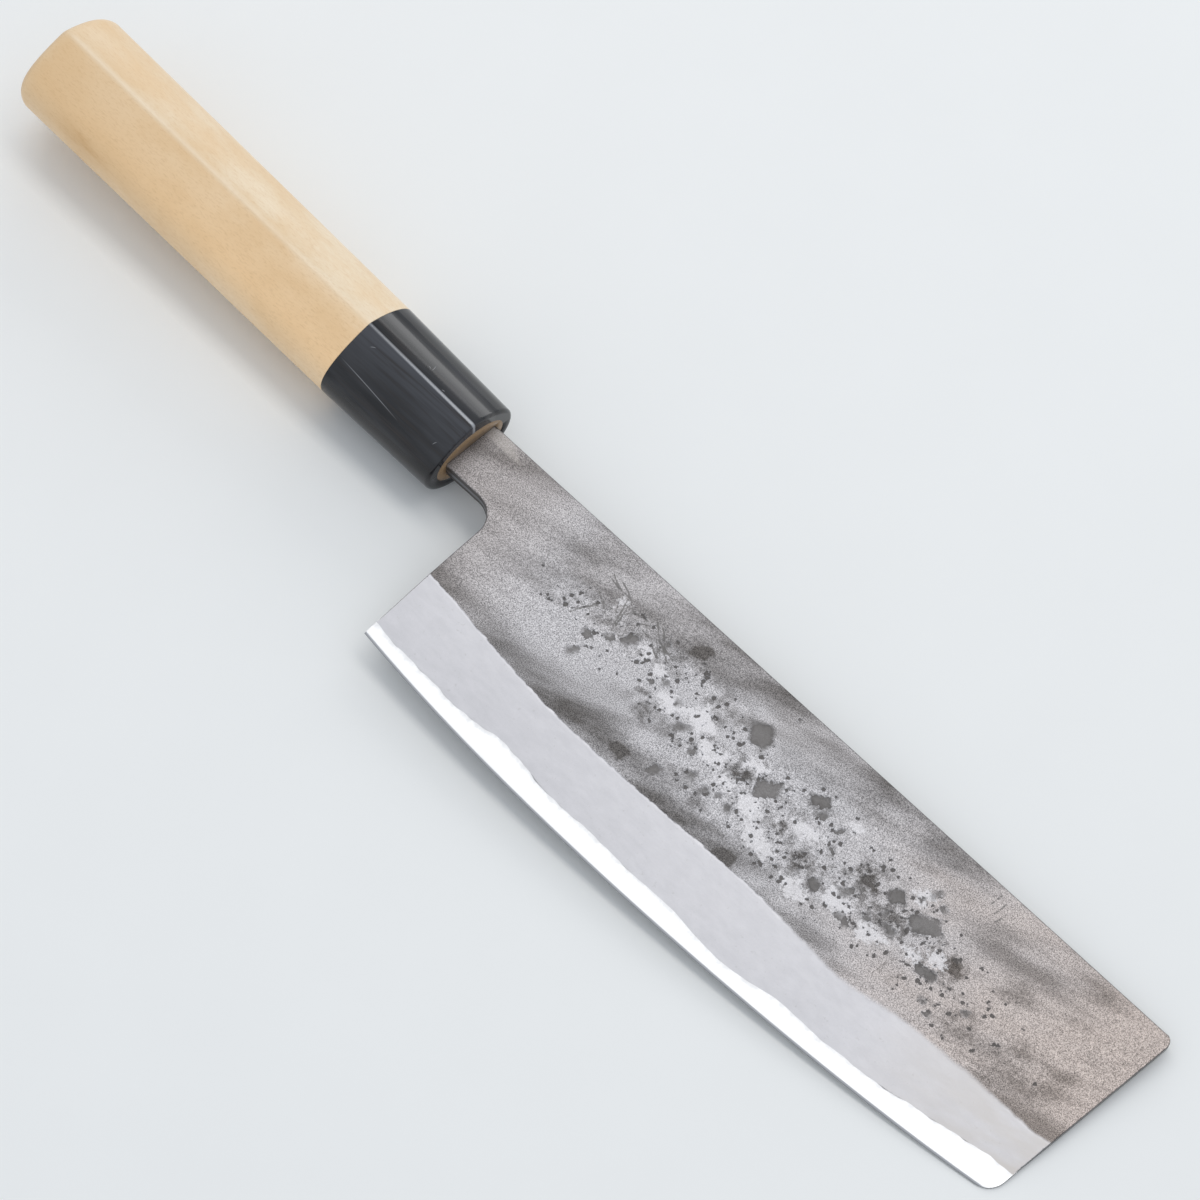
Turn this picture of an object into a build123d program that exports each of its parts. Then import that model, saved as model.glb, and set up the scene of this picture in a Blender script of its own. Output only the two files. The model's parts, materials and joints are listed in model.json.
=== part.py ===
from build123d import *
from math import cos, degrees, pi, radians, sin, tan
import os

os.makedirs("parts", exist_ok=True)

# Nakiri knife, modelled along its blade and then laid on its left side.
# Knife axes: X from the ferrule's front face to the nose, Y towards the spine,
# Z out of the right face. All lengths are in millimetres.

# Blade outline
blade_length = 167.6
heel_height = 50.4
belly_height = 53.6
nose_height = 47.4
neck_length = 14.5
neck_height = 13.5
choil_radius = 5.6
spine_rise = 7.0
nose_lean = 4.3
nose_top_radius = 2.0
nose_low_radius = 4.5
edge_place_shares = (0.26, 0.52, 0.77)
edge_belly_shares = (0.83, 1.0, 0.72)

# Blade section: thickness along the spine, and the bevels down to the edge
neck_thickness = 3.6
heel_thickness = 3.1
middle_thickness = 2.5
nose_thickness = 1.8
bevel_line_share = 0.86
bevel_height = 17.0
bevel_place_shares = (0.0, 0.22, 0.42, 0.68, 0.84, 1.0)
bevel_height_shares = (1.02, 0.99, 1.04, 0.96, 1.03, 0.87)
edge_thickness = 0.3
edge_margin = 0.8
spine_bevel = 0.35

# Hard core between the two soft jackets: its sides wave gently along the blade
core_thickness = 0.82
core_wave = 0.16
core_place_shares = (0.0, 0.14, 0.22, 0.31, 0.42, 0.55, 0.66, 0.76, 0.87, 1.0)
core_right_shares = (-0.2, 0.0, 0.9, 0.1, 0.2, -0.5, 0.6, 0.5, 1.0, 0.6)
core_left_shares = (0.3, 0.7, -0.3, 0.2, 0.8, 0.3, -0.4, 0.5, 0.1, 0.4)

# Tang inside the handle, and the resin that bonds it
tang_length = 86.0
tang_end_height = 5.0
tang_end_thickness = 2.4
tang_share = 0.5
tang_shoulder = 0.6
resin_gap = 0.35
resin_end_gap = 1.2

# Handle: a chestnut-shaped section with one soft ridge on the right side
handle_length = 124.5
handle_tilt = 1.93
handle_round = 3.6
front_height = 23.3
joint_height = 24.8
butt_height = 26.2
section_share = 0.8
ridge_place_share = 0.03
ridge_slope = 13.0
front_ridge_radius = 2.6
joint_ridge_radius = 1.2
butt_ridge_radius = 3.0

# Ferrule, and the wooden tenon that runs through it
ferrule_length = 30.7
ferrule_rim_bevel = 0.5
tenon_height = 17.8
tenon_thickness = 12.4

# One overrun for every cutting form
overrun = 4.0

spine_y = spine_rise
neck_low_y = spine_rise - neck_height
heel_x = neck_length
nose_x = neck_length + blade_length
edge_run = blade_length - nose_lean
tilt = radians(handle_tilt)

# The blade is drawn from its side and from above, the handle from its front face
blade_side = Plane.XY
blade_top = Plane(origin=(0, spine_y + overrun, 0), x_dir=(1, 0, 0), z_dir=(0, -1, 0))
handle_front = Plane(
    origin=(0, 0, 0), x_dir=(sin(tilt), cos(tilt), 0), z_dir=(-cos(tilt), sin(tilt), 0)
)
handle_axis = Axis(handle_front.origin, handle_front.z_dir)


def along(place):
    """A place along the blade by its share of the way from the heel to the nose."""
    return heel_x + place * blade_length


def shoulder(y):
    """A point of the neck's shoulder, which seats on the handle's slanting front face."""
    return (y * tan(tilt), y)


# Outline of the blade, neck and tang, seen from the right
edge_points = [(heel_x, spine_y - heel_height)]
for place, belly in zip(edge_place_shares, edge_belly_shares):
    chord = heel_height + (nose_height - heel_height) * place
    depth = chord + (belly_height - (heel_height + nose_height) / 2) * belly
    edge_points.append((heel_x + edge_run * place, spine_y - depth))
edge_points.append((heel_x + edge_run, spine_y - nose_height))
tang_tip = handle_front.offset(tang_length).origin

with BuildSketch(blade_side) as outline:
    with BuildLine():
        Spline(*edge_points)
        Polyline(
            edge_points[-1],
            (nose_x, spine_y),
            shoulder(spine_y),
            shoulder(spine_y - tang_shoulder),
            (tang_tip.X, tang_tip.Y + tang_end_height / 2),
            (tang_tip.X, tang_tip.Y - tang_end_height / 2),
            shoulder(neck_low_y + tang_shoulder),
            shoulder(neck_low_y),
            (heel_x, neck_low_y),
            edge_points[0],
        )
    make_face()
    corners = outline.vertices()
    fillet(corners.sort_by_distance((heel_x, neck_low_y))[0], choil_radius)
    fillet(corners.sort_by_distance((nose_x, spine_y))[0], nose_top_radius)
    fillet(corners.sort_by_distance(edge_points[-1])[0], nose_low_radius)


def thickness_at(x):
    """The blade's thickness at the spine, thinning from the neck to the nose."""
    places = (-tang_length, 0, heel_x, along(0.5), nose_x)
    sizes = (tang_end_thickness, neck_thickness, heel_thickness, middle_thickness, nose_thickness)
    spans = list(zip(places, places[1:], sizes, sizes[1:]))
    start, end, thick, thin = next((span for span in spans if x <= span[1]), spans[-1])
    return thick + (thin - thick) * (x - start) / (end - start)


def edge_depth(x):
    """How far the edge lies below the spine: the curve through the edge's points."""
    total = 0
    for here, low in edge_points:
        weight = 1
        for other, _ in edge_points:
            if other != here:
                weight *= (x - other) / (here - other)
        total += weight * (spine_y - low)
    return total


# Stations of the section: place, depth of the edge, height of the bevel
heel_bevel = bevel_height * bevel_height_shares[0]
tang_start, tang_end = (
    (place, heel_height, heel_bevel) for place in (-overrun, -tang_length - overrun)
)
stations = [tang_start, (0, heel_height, heel_bevel)]
for place, share in zip(bevel_place_shares, bevel_height_shares):
    stations.append((along(place), edge_depth(along(place)), bevel_height * share))
stations.append((nose_x + overrun, stations[-1][1], stations[-1][2]))


def blade_section(x, depth, bevel):
    """The blade's section at a station: a spine with eased corners, two sides, two bevels."""
    half = thickness_at(x) / 2
    bevel_half = half * bevel_line_share
    slope = (bevel_half - edge_thickness / 2) / bevel
    edge_half = edge_thickness / 2 - slope * edge_margin
    with BuildSketch(Plane.YZ.offset(x)) as section:
        Polygon(
            (spine_y - spine_bevel, half),
            (spine_y, half - spine_bevel),
            (spine_y, spine_bevel - half),
            (spine_y - spine_bevel, -half),
            (spine_y - depth + bevel, -bevel_half),
            (spine_y - depth - edge_margin, -edge_half),
            (spine_y - depth - edge_margin, edge_half),
            (spine_y - depth + bevel, bevel_half),
            align=None,
        )
    return section.sketch


with BuildPart() as blade_blank:
    loft([blade_section(*station) for station in stations], ruled=True)
    loft([blade_section(*tang_start), blade_section(*tang_end)])
    with BuildSketch(blade_side.offset(-neck_thickness)):
        add(outline.sketch)
    extrude(amount=2 * neck_thickness, mode=Mode.INTERSECT)


def wavy_side(shares, side):
    """Points along one side of the hard core, from the tang's end to beyond the nose."""
    points = [(-tang_length - overrun, side * core_thickness / 2)]
    points.append((-tang_length * tang_share, side * core_thickness / 2))
    points.append((0, side * core_thickness / 2))
    for place, share in zip(core_place_shares, shares):
        points.append((along(place), side * (core_thickness + core_wave * share) / 2))
    points.append((nose_x + overrun, side * core_thickness / 2))
    return points


with BuildSketch(blade_top) as core_slab:
    with BuildLine():
        right_side = Spline(*wavy_side(core_right_shares, 1))
        left_side = Spline(*wavy_side(core_left_shares, -1))
        Line(right_side @ 0, left_side @ 0)
        Line(right_side @ 1, left_side @ 1)
    make_face()
slab_depth = belly_height + 2 * overrun

with BuildPart() as core_steel:
    add(blade_blank.part)
    extrude(core_slab.sketch, amount=slab_depth, mode=Mode.INTERSECT)
core_steel.part.label = "core_steel"

with BuildPart() as cladding_right:
    add(blade_blank.part)
    extrude(core_slab.sketch, amount=slab_depth, mode=Mode.SUBTRACT)
    split(bisect_by=Plane.XY, keep=Keep.TOP)
cladding_right.part.label = "cladding_right"

with BuildPart() as cladding_left:
    add(blade_blank.part)
    extrude(core_slab.sketch, amount=slab_depth, mode=Mode.SUBTRACT)
    split(bisect_by=Plane.XY, keep=Keep.BOTTOM)
cladding_left.part.label = "cladding_left"


def handle_section(place, height, ridge_radius):
    """The handle's section: an oval left side, and two flatter facets and a ridge on the right."""
    half_height = height / 2
    half_thickness = height * section_share / 2
    slope = radians(ridge_slope)
    ridge = height * ridge_place_share
    crest = -half_thickness + ridge_radius * (1 - cos(slope))
    low_crest = (ridge - ridge_radius * sin(slope), crest)
    high_crest = (ridge + ridge_radius * sin(slope), crest)
    with BuildSketch(handle_front.offset(place)) as section:
        with BuildLine():
            EllipticalCenterArc((0, 0), half_height, half_thickness, arc_size=degrees(pi))
            Spline(
                (-half_height, 0), low_crest, tangents=((0, -1), (cos(slope), -sin(slope)))
            )
            ThreePointArc(low_crest, (ridge, -half_thickness), high_crest)
            Spline(
                high_crest, (half_height, 0), tangents=((cos(slope), sin(slope)), (0, 1))
            )
        make_face()
    return section.sketch


front_section = handle_section(0, front_height, front_ridge_radius)
middle_section = handle_section(
    ferrule_length / 2,
    (front_height + joint_height) / 2,
    (front_ridge_radius + joint_ridge_radius) / 2,
)
joint_section = handle_section(ferrule_length, joint_height, joint_ridge_radius)
butt_section = handle_section(handle_length, butt_height, butt_ridge_radius)

with BuildSketch(handle_front) as tenon_section:
    Ellipse(tenon_height / 2, tenon_thickness / 2)

# Mortise for the tang: as deep as the tang and its resin
tang_height = neck_height - 2 * tang_shoulder
tang_middle = spine_rise - neck_height / 2
with BuildPart() as mortise:
    with BuildSketch(handle_front):
        with Locations((tang_middle, 0)):
            RectangleRounded(
                tang_height + 2 * resin_gap, neck_thickness + 2 * resin_gap, resin_gap
            )
    with BuildSketch(handle_front.offset(tang_length + resin_end_gap)):
        RectangleRounded(
            tang_end_height + 2 * resin_gap, tang_end_thickness + 2 * resin_gap, resin_gap
        )
    loft()

with BuildPart() as ferrule:
    add(front_section)
    add(middle_section)
    add(joint_section)
    loft(ruled=True)
    front_face = ferrule.faces().sort_by(handle_axis)[0]
    chamfer(front_face.edges(), ferrule_rim_bevel)
    extrude(tenon_section.sketch, amount=ferrule_length + overrun, mode=Mode.SUBTRACT)
ferrule.part.label = "ferrule"

with BuildPart() as handle_body:
    add(joint_section)
    add(butt_section)
    loft()
    butt_face = handle_body.faces().sort_by(handle_axis)[-1]
    fillet(butt_face.edges(), handle_round)
    extrude(tenon_section.sketch, amount=ferrule_length)
    add(mortise.part, mode=Mode.SUBTRACT)
handle_body.part.label = "handle_body"

with BuildPart() as tang_resin:
    add(mortise.part)
    add(blade_blank.part, mode=Mode.SUBTRACT)
tang_resin.part.label = "tang_resin"

pieces = (core_steel, cladding_right, cladding_left, ferrule, handle_body, tang_resin)

# The knife lies on its left side on three points: the ferrule's front rim, and
# the lower end of the nose with the end of the bevel line above it
nose_bevel = bevel_height * bevel_height_shares[-1]
nose_shinogi = Vector(
    nose_x - nose_lean * (nose_height - nose_bevel) / nose_height,
    spine_y - nose_height + nose_bevel,
    -nose_thickness * bevel_line_share / 2,
)
nose_low = Vector(
    nose_x - nose_lean - nose_low_radius / 2,
    spine_y - nose_height + nose_low_radius / 4,
    -edge_thickness / 2 - (bevel_line_share * nose_thickness - edge_thickness)
    * nose_low_radius / nose_bevel / 8,
)


def rim_point(angle):
    """A point of the ferrule's left front rim, behind its bevel."""
    local = (
        front_height / 2 * cos(radians(angle)),
        front_height * section_share / 2 * sin(radians(angle)),
        ferrule_rim_bevel,
    )
    return handle_front.from_local_coords(Vector(*local))


def resting_normal(rim):
    """The floor's upward normal in knife axes if the knife rests on this rim point."""
    return (nose_low - rim).cross(nose_shinogi - rim).normalized()


def clearance(rim):
    """How far the rest of the rim stays above a floor through this rim point."""
    normal = resting_normal(rim)
    return min((other - rim).dot(normal) for other in rim_points)


rim_points = [rim_point(angle) for angle in range(round(degrees(pi)))]
rest = max(rim_points, key=clearance)
up = resting_normal(rest)
floor = Plane(origin=rest, x_dir=Vector(1, 0, 0) - up * up.X, z_dir=up)
laid = [floor.to_local_coords(piece.part) for piece in pieces]
box = Compound(children=laid).bounding_box()
foot = Location((-(box.min.X + box.max.X) / 2, -(box.min.Y + box.max.Y) / 2, -box.min.Z))
lying = foot * floor.location.inverse()

for piece in pieces:
    piece.part.locate(lying)
    export_step(piece.part, f"parts/{piece.part.label}.step")
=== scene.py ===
"""Nakiri knife: the visual pieces, their materials and the studio, in one script.

Laid out as an add-on, but run as a script: main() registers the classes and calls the
operators in order. Lengths inside the pieces are millimetres in
the knife's own axes, X from the ferrule's front to the nose, Y towards the spine, Z out
of the right side; each finished piece is then turned into the row frame, in metres.
"""
import json
import math

import bmesh
import bpy
import numpy as np
from mathutils import Matrix, Vector
from mathutils.geometry import delaunay_2d_cdt


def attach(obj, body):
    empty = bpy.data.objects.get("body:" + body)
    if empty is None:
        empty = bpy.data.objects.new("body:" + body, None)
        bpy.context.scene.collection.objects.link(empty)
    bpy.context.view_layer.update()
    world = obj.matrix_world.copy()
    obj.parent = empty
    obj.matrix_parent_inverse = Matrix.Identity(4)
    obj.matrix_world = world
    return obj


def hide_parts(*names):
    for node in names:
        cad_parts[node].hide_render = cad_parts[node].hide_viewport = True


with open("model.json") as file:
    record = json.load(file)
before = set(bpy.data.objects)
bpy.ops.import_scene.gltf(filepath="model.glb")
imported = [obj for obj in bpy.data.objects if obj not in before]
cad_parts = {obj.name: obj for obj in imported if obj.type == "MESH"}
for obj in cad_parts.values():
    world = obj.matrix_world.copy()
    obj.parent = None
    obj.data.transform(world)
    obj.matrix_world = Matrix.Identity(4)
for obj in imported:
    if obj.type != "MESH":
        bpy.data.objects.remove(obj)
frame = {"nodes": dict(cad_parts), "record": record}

bl_info = {
    "name": "Nakiri Knife",
    "version": (1, 0, 0),
    "blender": (4, 5, 0),
    "location": "View3D > Sidebar > Nakiri",
    "description": "Builds a nakiri knife with a laminated blade and its studio",
    "category": "Object",
}

# Blade, seen from its side
SPINE_Y = 7.0
HEEL_X = 14.5
NOSE_X = 182.1
HEEL_HEIGHT = 50.4
BELLY_HEIGHT = 53.6
NOSE_HEIGHT = 47.4
NOSE_LEAN = 4.3
EDGE_END = NOSE_X - NOSE_LEAN
NECK_HEIGHT = 13.5
CHOIL_RADIUS = 5.6
NOSE_TOP_RADIUS = 2.0
NOSE_LOW_RADIUS = 4.5
EDGE_SHARES = ((0.26, 0.83), (0.52, 1.0), (0.77, 0.72))
TANG_LENGTH = 86.0
TANG_END_HEIGHT = 5.0
TANG_SHOULDER = 0.6

# Blade thickness at the spine: place and size
THICKNESS = ((-86.0, 2.4), (0.0, 3.6), (14.5, 3.1), (98.3, 2.5), (182.1, 1.8))
BEVEL_LINE_SHARE = 0.86

# Half thickness at the bevel's foot, and the height and share of the last fine bevel
FOOT_HALF = 0.14
LIP_HEIGHT = 0.5
LIP_SHARE = 0.1

# Rounding of the spine's corner, and depths below the spine of the rows that carry it
SPINE_ROUND = 0.45
SPINE_ROWS = (0.04, 0.12, 0.22, 0.34, 0.46)

# Small bevel round a jacket's outer side, and the margin that loose points keep
RIM_WIDTH = 0.12
RIM_DROP = 0.1
RIM_MARGIN = 0.2

# Heights above the edge of the core's rows of points
CORE_ROWS = (0.25, 0.5, 0.9, 1.6, 2.6, 3.6, 4.6, 5.6, 6.6, 7.6)

# The bevel's upper line and the lamination line on the right side, below the spine
BEVEL_LINE = (
    (14, 32.5), (22, 33.2), (30, 34.2), (40, 35.4), (50, 36.2), (63, 36.4), (76, 36.2),
    (92, 35.6), (107, 35.3), (120, 36.0), (130, 36.3), (142, 34.1), (158, 33.0),
    (168, 32.8), (176, 32.6), (183, 31.0),
)
LAMINATION_LINE = (
    (14, 47.0), (27, 48.3), (40, 48.5), (49, 47.7), (62, 48.8), (80, 49.1), (95, 49.1),
    (105, 49.8), (116, 49.4), (124, 48.1), (137, 47.5), (151, 46.2), (153, 45.6),
    (165, 43.6), (177, 41.5), (183, 41.0),
)

# Handle; the slot has a gap round the tang and some spare depth behind it
HANDLE_TILT = 1.93
FERRULE_LENGTH = 30.7
HANDLE_LENGTH = 124.5
FRONT_HEIGHT = 23.3
JOINT_HEIGHT = 24.8
BUTT_HEIGHT = 26.2
TENON_HEIGHT = 17.8
TENON_THICKNESS = 12.4
MORTISE_GAP = 0.35
MORTISE_SPARE = 1.2
JOINT_GAP = 0.03

# Dark blotches left by the forge, and the broad soft strokes near the nose with a
# softness of 2 and more: place x and y, length, width, turn, softness
BLOTCHES = (
    (45.0, -12.5, 3.0, 2.7, 0, 0.1), (45.5, -17.0, 4.2, 1.2, 70, 0.1),
    (47.5, -14.5, 2.0, 1.0, 40, 0.1), (49.0, -10.0, 2.8, 1.8, 80, 0.1),
    (52.0, -7.5, 5.0, 3.0, 60, 0.2), (57.5, -3.0, 2.0, 1.2, 20, 0.2),
    (63.5, 0.6, 4.4, 2.6, 55, 0.7), (63.0, -9.0, 2.4, 1.2, 20, 0.1),
    (61.0, -11.0, 1.8, 1.2, 0, 0.1), (61.5, -13.5, 3.5, 2.0, 30, 0.6),
    (68.0, -10.5, 1.7, 1.5, 0, 0.1), (64.0, -16.5, 4.5, 2.4, -20, 0.9),
    (74.0, -5.5, 9.0, 4.6, 10, 1.5), (79.5, -4.0, 7.5, 4.0, 15, 1.2),
    (83.8, -3.6, 5.4, 6.6, 20, 0.5), (72.0, -14.0, 4.2, 1.6, 60, 0.2),
    (77.0, -16.0, 1.8, 2.4, 30, 0.2), (74.5, -24.0, 4.4, 2.4, 65, 0.2),
    (67.0, -26.0, 3.5, 3.0, 0, 0.8), (80.5, -19.5, 2.2, 1.6, 0, 0.2),
    (84.5, -20.0, 2.6, 1.6, 15, 0.2), (85.0, -22.5, 4.5, 3.5, 0, 1.0),
    (87.0, -19.0, 1.8, 1.4, 0, 0.2), (87.0, -12.5, 4.0, 2.6, 50, 0.7),
    (92.5, -11.5, 6.0, 5.2, 40, 0.1), (90.0, -19.7, 2.2, 2.0, 0, 0.5),
    (101.5, -5.5, 5.5, 3.0, 30, 0.3), (104.0, -7.5, 2.6, 2.0, 30, 0.2),
    (100.0, -15.0, 3.4, 2.8, 0, 0.6), (108.5, -7.5, 2.6, 1.6, 70, 0.1),
    (110.0, -11.5, 1.8, 1.4, 0, 0.2), (96.5, -28.0, 6.0, 3.5, -10, 0.6),
    (112.5, -19.0, 3.4, 3.0, 0, 0.5), (118.0, -15.5, 3.6, 2.2, 70, 0.1),
    (107.0, -17.5, 4.5, 3.0, 20, 1.0), (125.5, -9.5, 5.2, 3.6, 10, 0.4),
    (119.0, -11.0, 6.0, 3.0, 0, 1.3), (130.7, -3.7, 2.8, 1.8, 40, 0.1),
    (133.3, -5.0, 2.2, 2.0, 0, 0.1), (133.0, -10.0, 7.0, 5.6, 30, 0.2),
    (129.0, -6.5, 1.8, 1.4, 0, 0.1), (121.0, -20.5, 5.0, 1.8, 5, 0.1),
    (124.2, -16.7, 2.2, 1.6, 0, 0.1), (126.0, -13.5, 2.0, 1.2, 40, 0.1),
    (129.0, -15.5, 3.0, 2.4, 0, 0.1), (134.5, -20.5, 4.6, 4.2, 0, 0.6),
    (143.0, -12.0, 6.5, 5.0, 10, 0.6), (139.5, -17.0, 5.5, 2.8, 10, 0.3),
    (145.5, -23.0, 2.0, 1.5, 0, 0.2), (143.0, -21.5, 1.8, 1.4, 0, 0.2),
    (150.5, -17.5, 1.8, 1.6, 0, 0.4), (86.9, 3.8, 1.4, 0.7, 60, 0.1),
    (164.0, -21.5, 17.0, 4.5, -2, 2.4), (172.0, -15.0, 9.0, 6.0, -19, 2.2),
    (155.5, -8.0, 11.0, 3.0, 4, 2.0), (170.5, 4.0, 16.0, 2.6, 18, 2.2),
    (151.0, -18.5, 14.0, 3.5, -9, 2.2), (163.5, -14.0, 10.0, 2.0, 10, 2.0),
)

# Softness below which a blotch is cut, above which it shades, and of the strokes
CUT_BELOW = 0.55
SHADE_ABOVE = 0.25
STROKE_FROM = 1.9
STROKE_WEIGHT = 0.55

# Patches rubbed bright between the blotches: place x and y, length, width, turn
BRIGHT = (
    (139.3, -13.4, 3.6, 3.2, 20), (56.3, -7.0, 2.6, 2.4, 0), (45.5, -2.5, 2.6, 1.6, 40),
    (67.0, -11.5, 7.0, 3.4, 20), (74.0, -10.0, 8.0, 3.6, 10), (80.0, -13.5, 7.0, 4.0, 20),
    (88.0, -9.0, 5.0, 2.0, 30), (93.0, -16.5, 7.5, 3.6, 0), (99.0, -20.5, 9.0, 3.8, 0),
    (104.0, -12.0, 7.0, 3.2, 20), (110.0, -22.5, 8.0, 3.0, 0), (118.0, -19.0, 8.0, 2.8, 10),
    (127.0, -18.5, 7.0, 3.2, 10), (129.0, -5.5, 5.0, 2.6, 30), (135.5, -16.0, 4.0, 2.0, 0),
    (85.5, -16.0, 5.0, 2.6, 10), (110.5, -4.5, 4.0, 1.6, 20), (61.0, -8.0, 4.0, 1.8, 0),
)

# Fine crossed scratches by the heel end of the band: both ends of each
SCRATCHES = (
    (39.5, -11.5, 42.5, -6.5), (39.0, -11.0, 42.0, -6.0), (39.0, -3.5, 45.5, -7.0),
    (40.0, -4.0, 44.0, -6.0), (39.5, -0.5, 45.5, -1.0), (39.0, 1.0, 44.5, -1.5),
    (41.5, 0.5, 46.5, -1.5), (45.5, -1.5, 47.5, -8.0), (46.5, -2.5, 48.0, -9.0),
    (44.0, -2.0, 47.5, -7.0), (52.5, -0.5, 58.0, -5.5), (54.0, -0.5, 59.0, -5.0),
    (54.5, -3.0, 59.0, -7.5), (54.5, -3.5, 61.5, -5.0), (56.0, -3.0, 61.0, -6.0),
    (50.5, -3.5, 53.5, -1.5), (47.5, -3.0, 52.0, -2.0), (49.5, -3.5, 54.5, -4.5),
    (51.0, -3.5, 51.5, -8.0), (57.0, -5.0, 60.0, -3.5), (55.0, -4.5, 58.0, -6.5),
    (42.5, -5.5, 46.5, -5.0), (46.5, -5.5, 48.5, -2.0), (139.0, 1.5, 139.5, 6.0),
    (140.5, 0.5, 141.0, 5.0), (141.0, -2.0, 142.5, 3.0), (139.0, 3.0, 140.0, 5.0),
    (69.0, 3.0, 70.5, 3.0),
)

# Light nicks in the horn, on the right: place x and y, length, turn
HORN_NICKS = (
    (-14.9, 4.4, 1.6, -75), (-15.6, 3.9, 0.9, -20), (-26.6, -1.2, 1.3, 30),
    (-3.6, -6.6, 1.0, 60), (-9.8, 1.9, 0.8, 10), (-21.4, -7.2, 18.0, -5),
)

# Turn of the hammer strokes and of the burnt shades against the blade's length
STROKE_TURN = math.radians(17)

# Mesh steps: pear skin, scratched zone, plain bevel, and along the lamination line
SKIN_STEP = 0.36
SCRATCH_STEP = 0.17
PLAIN_STEP = 0.9
LINE_STEP = 0.2

# Bounds of the scratched zone: from x to x, from y to y
SCRATCHED_ZONE = (35, 63, -12.5, 4.5)

# Vertices closer than this are joined
MERGE_GAP = 0.0008

# Distance given where a mesh has no marks of a kind
FAR = 9.0

# The camera found from the photograph, in the knife's axes
CAMERA_PLACE = (283.7, -315.3, 792.3)
CAMERA_RIGHT = (0.71161, 0.70029, 0.05660)
CAMERA_DOWN = (0.64698, -0.62176, -0.44140)
CAMERA_LENS = 135.04
CAMERA_SENSOR = 36.0

# Studio
BACK_POWER = 3.4
KEY_COLOUR = (1.0, 0.97, 0.93)
WORLD_COLOUR = (0.87, 0.925, 1.0, 1.0)
WORLD_STRENGTH = 0.74
FLOOR_HALF = 4.0


def knife_matrix():
    """The turn from the knife's millimetres into the row frame, read off its mounts."""
    mounts = {mount["name"]: mount for mount in frame["record"]["mounts"]}
    origin = Vector(mounts["sheath_slot"]["pos_m"])
    x_axis = Vector(mounts["sheath_slot"]["axis"]).normalized()
    z_axis = x_axis.cross(-Vector(mounts["cutting_edge"]["axis"])).normalized()
    y_axis = z_axis.cross(x_axis)
    turn = Matrix((x_axis, y_axis, z_axis)).transposed().to_4x4()
    return Matrix.Translation(origin) @ turn @ Matrix.Scale(0.001, 4)


def handle_matrix():
    """The turn from the handle's axes (up, left, back) into the knife's."""
    tilt = math.radians(HANDLE_TILT)
    up = Vector((math.sin(tilt), math.cos(tilt), 0))
    back = Vector((-math.cos(tilt), math.sin(tilt), 0))
    return Matrix((up, back.cross(up), back)).transposed().to_4x4()


# Node helpers


class Field:
    """A node's output that can be reckoned with like a number; each step adds a Math node."""

    def __init__(self, tree, socket):
        self.tree = tree
        self.socket = socket

    def __add__(self, other):
        return calc("ADD", self, other)

    def __sub__(self, other):
        return calc("SUBTRACT", self, other)

    def __rsub__(self, other):
        return calc("SUBTRACT", other, self)

    def __mul__(self, other):
        return calc("MULTIPLY", self, other)

    def __truediv__(self, other):
        return calc("DIVIDE", self, other)

    def __rtruediv__(self, other):
        return calc("DIVIDE", other, self)

    def __pow__(self, other):
        return calc("POWER", self, other)

    def __neg__(self):
        return self * -1.0

    def __abs__(self):
        return calc("ABSOLUTE", self)

    def other(self, output):
        """Another output of the same node."""
        return Field(self.tree, self.socket.node.outputs[output])


def fill(socket, value):
    """Links a field to an input, or sets a plain value on it."""
    if isinstance(value, Field):
        value.tree.links.new(value.socket, socket)
    else:
        socket.default_value = value


def added(tree, kind, values=None, output=0, **settings):
    """Adds a node, sets it, fills its inputs and returns one of its outputs as a field."""
    node = tree.nodes.new(kind)
    for name, value in settings.items():
        setattr(node, name, value)
    for key, value in (values or {}).items():
        fill(node.inputs[key], value)
    return Field(tree, node.outputs[output])


def joined(kind, values, output=0, **settings):
    """The same, in the tree of the first field among the values."""
    tree = next(value.tree for value in values.values() if isinstance(value, Field))
    return added(tree, kind, values, output, **settings)


def calc(operation, *values):
    """The result of a Math node."""
    return joined("ShaderNodeMath", dict(enumerate(values)), operation=operation)


def vector(x=0.0, y=0.0, z=0.0):
    """A vector put together from numbers and fields."""
    return joined("ShaderNodeCombineXYZ", {0: x, 1: y, 2: z})


def split(value):
    """The three parts of a vector."""
    first = joined("ShaderNodeSeparateXYZ", {0: value})
    return first, first.other(1), first.other(2)


def vector_calc(operation, *values, output=0, **named):
    """The result of a Vector Math node."""
    return joined("ShaderNodeVectorMath", dict(enumerate(values), **named), output, operation=operation)


def dot(value, x, y):
    """How far a vector reaches along a direction in the blade's plane."""
    return vector_calc("DOT_PRODUCT", value, (x, y, 0.0), output=1)


def ranged(value, low, high, to_low=0.0, to_high=1.0, smooth=False):
    """A value taken from one range to another, and held inside it."""
    inputs = {0: value, 1: low, 2: high, 3: to_low, 4: to_high}
    kind = "SMOOTHSTEP" if smooth else "LINEAR"
    return joined("ShaderNodeMapRange", inputs, interpolation_type=kind)


def noise(place, scale, detail=2.0, rough=0.5, output=0):
    """A Noise texture's value."""
    inputs = {"Vector": place, "Scale": scale, "Detail": detail, "Roughness": rough}
    return joined("ShaderNodeTexNoise", inputs, output)


def stretched(place, scale, detail, rough):
    """A Noise texture's value with a scale of its own along each axis."""
    mapped = joined("ShaderNodeMapping", {"Vector": place, "Scale": scale})
    return noise(mapped, 1.0, detail, rough)


def mixed(factor, first, second, blend="MIX"):
    """Two colours mixed."""
    values = {0: factor, 6: first, 7: second}
    return joined("ShaderNodeMix", values, 2, data_type="RGBA", blend_type=blend)


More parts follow.
